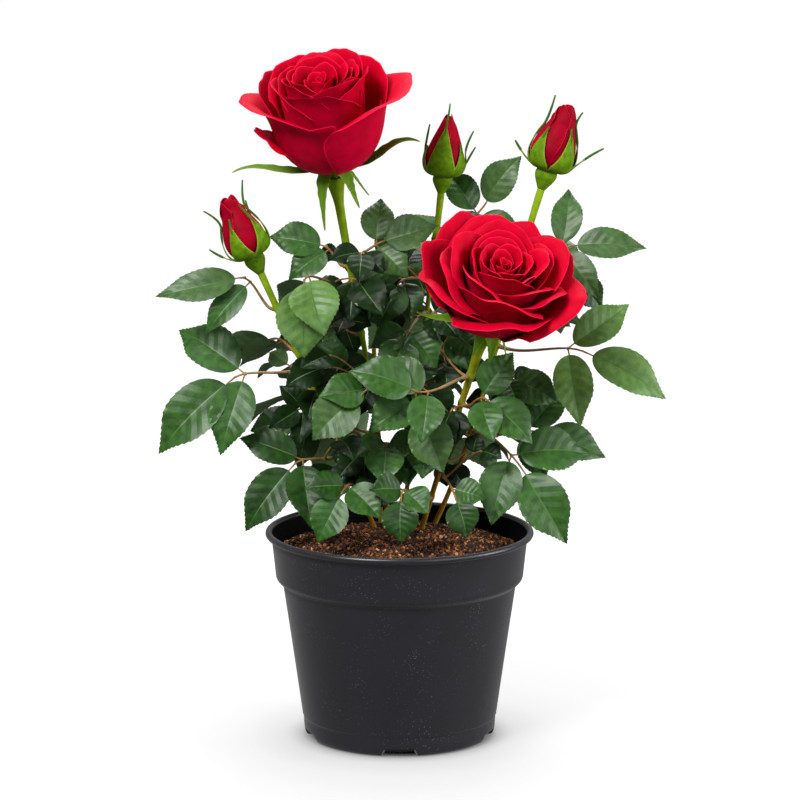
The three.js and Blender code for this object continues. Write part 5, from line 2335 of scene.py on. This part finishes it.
@dataclass(frozen=True)
class Softbox:
    """A square studio light.

    Args:
        name: Its name.
        place: Where it stands, in metres.
        side: Its side, in metres.
        power: Its power in watts.
    """

    name: str
    place: tuple[float, float, float]
    side: float
    power: float

    def build(self, aim: Vector) -> None:
        """Makes the light and turns it to the aim.

        Args:
            aim: The place that it shines at, in metres.
        """
        data = bpy.data.lights.new(self.name, "AREA")
        data.shape = "SQUARE"
        data.size = self.side
        data.energy = self.power
        lamp = bpy.data.objects.new(self.name, data)
        lamp.location = self.place
        lamp.rotation_euler = (aim - Vector(self.place)).to_track_quat("-Z", "Y").to_euler()
        bpy.context.scene.collection.objects.link(lamp)


@dataclass(frozen=True)
class Studio:
    """The white floor, the lights and the camera.

    Args:
        distance: From the camera to its aim, in millimetres.
        rise: Degrees that the camera looks down.
        aim: What the camera looks at, in millimetres.
        scale: Pixels of an 800-pixel frame to a millimetre at the aim.
        floor: Radius of the floor, in metres.
        sky: Strength of the light from all round.
        lamps: The lights.
    """

    distance: float = 2300.0
    rise: float = 10.6
    aim: tuple[float, float, float] = (0.3, 0.0, 216.0)
    scale: float = 1.588
    floor: float = 12.0
    sky: float = 0.3
    lamps: tuple[Softbox, ...] = (
        Softbox("key_softbox", (-0.9, -1.3, 1.7), 0.7, 56.0),
        Softbox("fill_softbox", (1.3, -1.5, 0.8), 1.2, 14.0),
        Softbox("side_softbox", (1.6, -0.2, 0.5), 0.8, 20.0),
        Softbox("rim_softbox", (0.1, 0.9, 1.7), 0.9, 26.0),
    )

    FRAME = 800.0  # pixels across the frame that the scale counts in
    FLOOR_SIDES = 96

    def build_camera(self) -> None:
        """Sets the camera up."""
        data = bpy.data.cameras.new("studio_camera")
        data.sensor_width = 36.0
        data.lens = self.scale * self.distance * data.sensor_width / self.FRAME
        data.clip_end = 100.0
        camera = bpy.data.objects.new("studio_camera", data)
        aim = Vector(self.aim) * METRE
        camera.location = aim + Vector(toward(-90.0, self.rise)) * (self.distance * METRE)
        camera.rotation_euler = (aim - camera.location).to_track_quat("-Z", "Y").to_euler()
        bpy.context.scene.collection.objects.link(camera)
        bpy.context.scene.camera = camera

    def build_floor(self) -> None:
        """Lays the floor."""
        mesh = bpy.data.meshes.new("studio_floor")
        turns = np.linspace(0, 2 * math.pi, self.FLOOR_SIDES + 1)[:-1]
        ring = np.stack([self.floor * np.cos(turns), self.floor * np.sin(turns), 0 * turns], -1)
        mesh.from_pydata(ring, [], [list(range(self.FLOOR_SIDES))])
        mesh.materials.append(STUDIO_FLOOR.material())
        floor = bpy.data.objects.new("studio_floor", mesh)
        floor.visible_diffuse = False
        floor.visible_glossy = False
        bpy.context.scene.collection.objects.link(floor)

    def build_lights(self) -> None:
        """Sets the lights up."""
        world = bpy.data.worlds.new("studio_light")
        world.use_nodes = True
        sky = world.node_tree.nodes["Background"]
        sky.inputs["Color"].default_value = linear(0xFFFFFF)
        sky.inputs["Strength"].default_value = self.sky
        bpy.context.scene.world = world
        for lamp in self.lamps:
            lamp.build(Vector(self.aim) * METRE)


def main() -> None:
    """Builds the plant piece by piece, then the studio round it."""
    logging.basicConfig(level=logging.INFO, format="%(name)s: %(message)s")
    bpy.context.scene.view_settings.view_transform = "Standard"
    studio = Studio()
    studio.build_camera()
    studio.build_floor()
    studio.build_lights()
    NurseryPot().build()
    mix = PottingMix()
    mix.build_bed()
    mix.build_crumbs()
    foliage = Foliage()
    foliage.grow()
    for cane in CANES.values():
        cane.build(foliage.knots(cane.name))
    for flower in (*BLOOMS, *BUDS):
        flower.petals()
        flower.calyx()
    foliage.build()


if __name__ == "__main__":
    main()
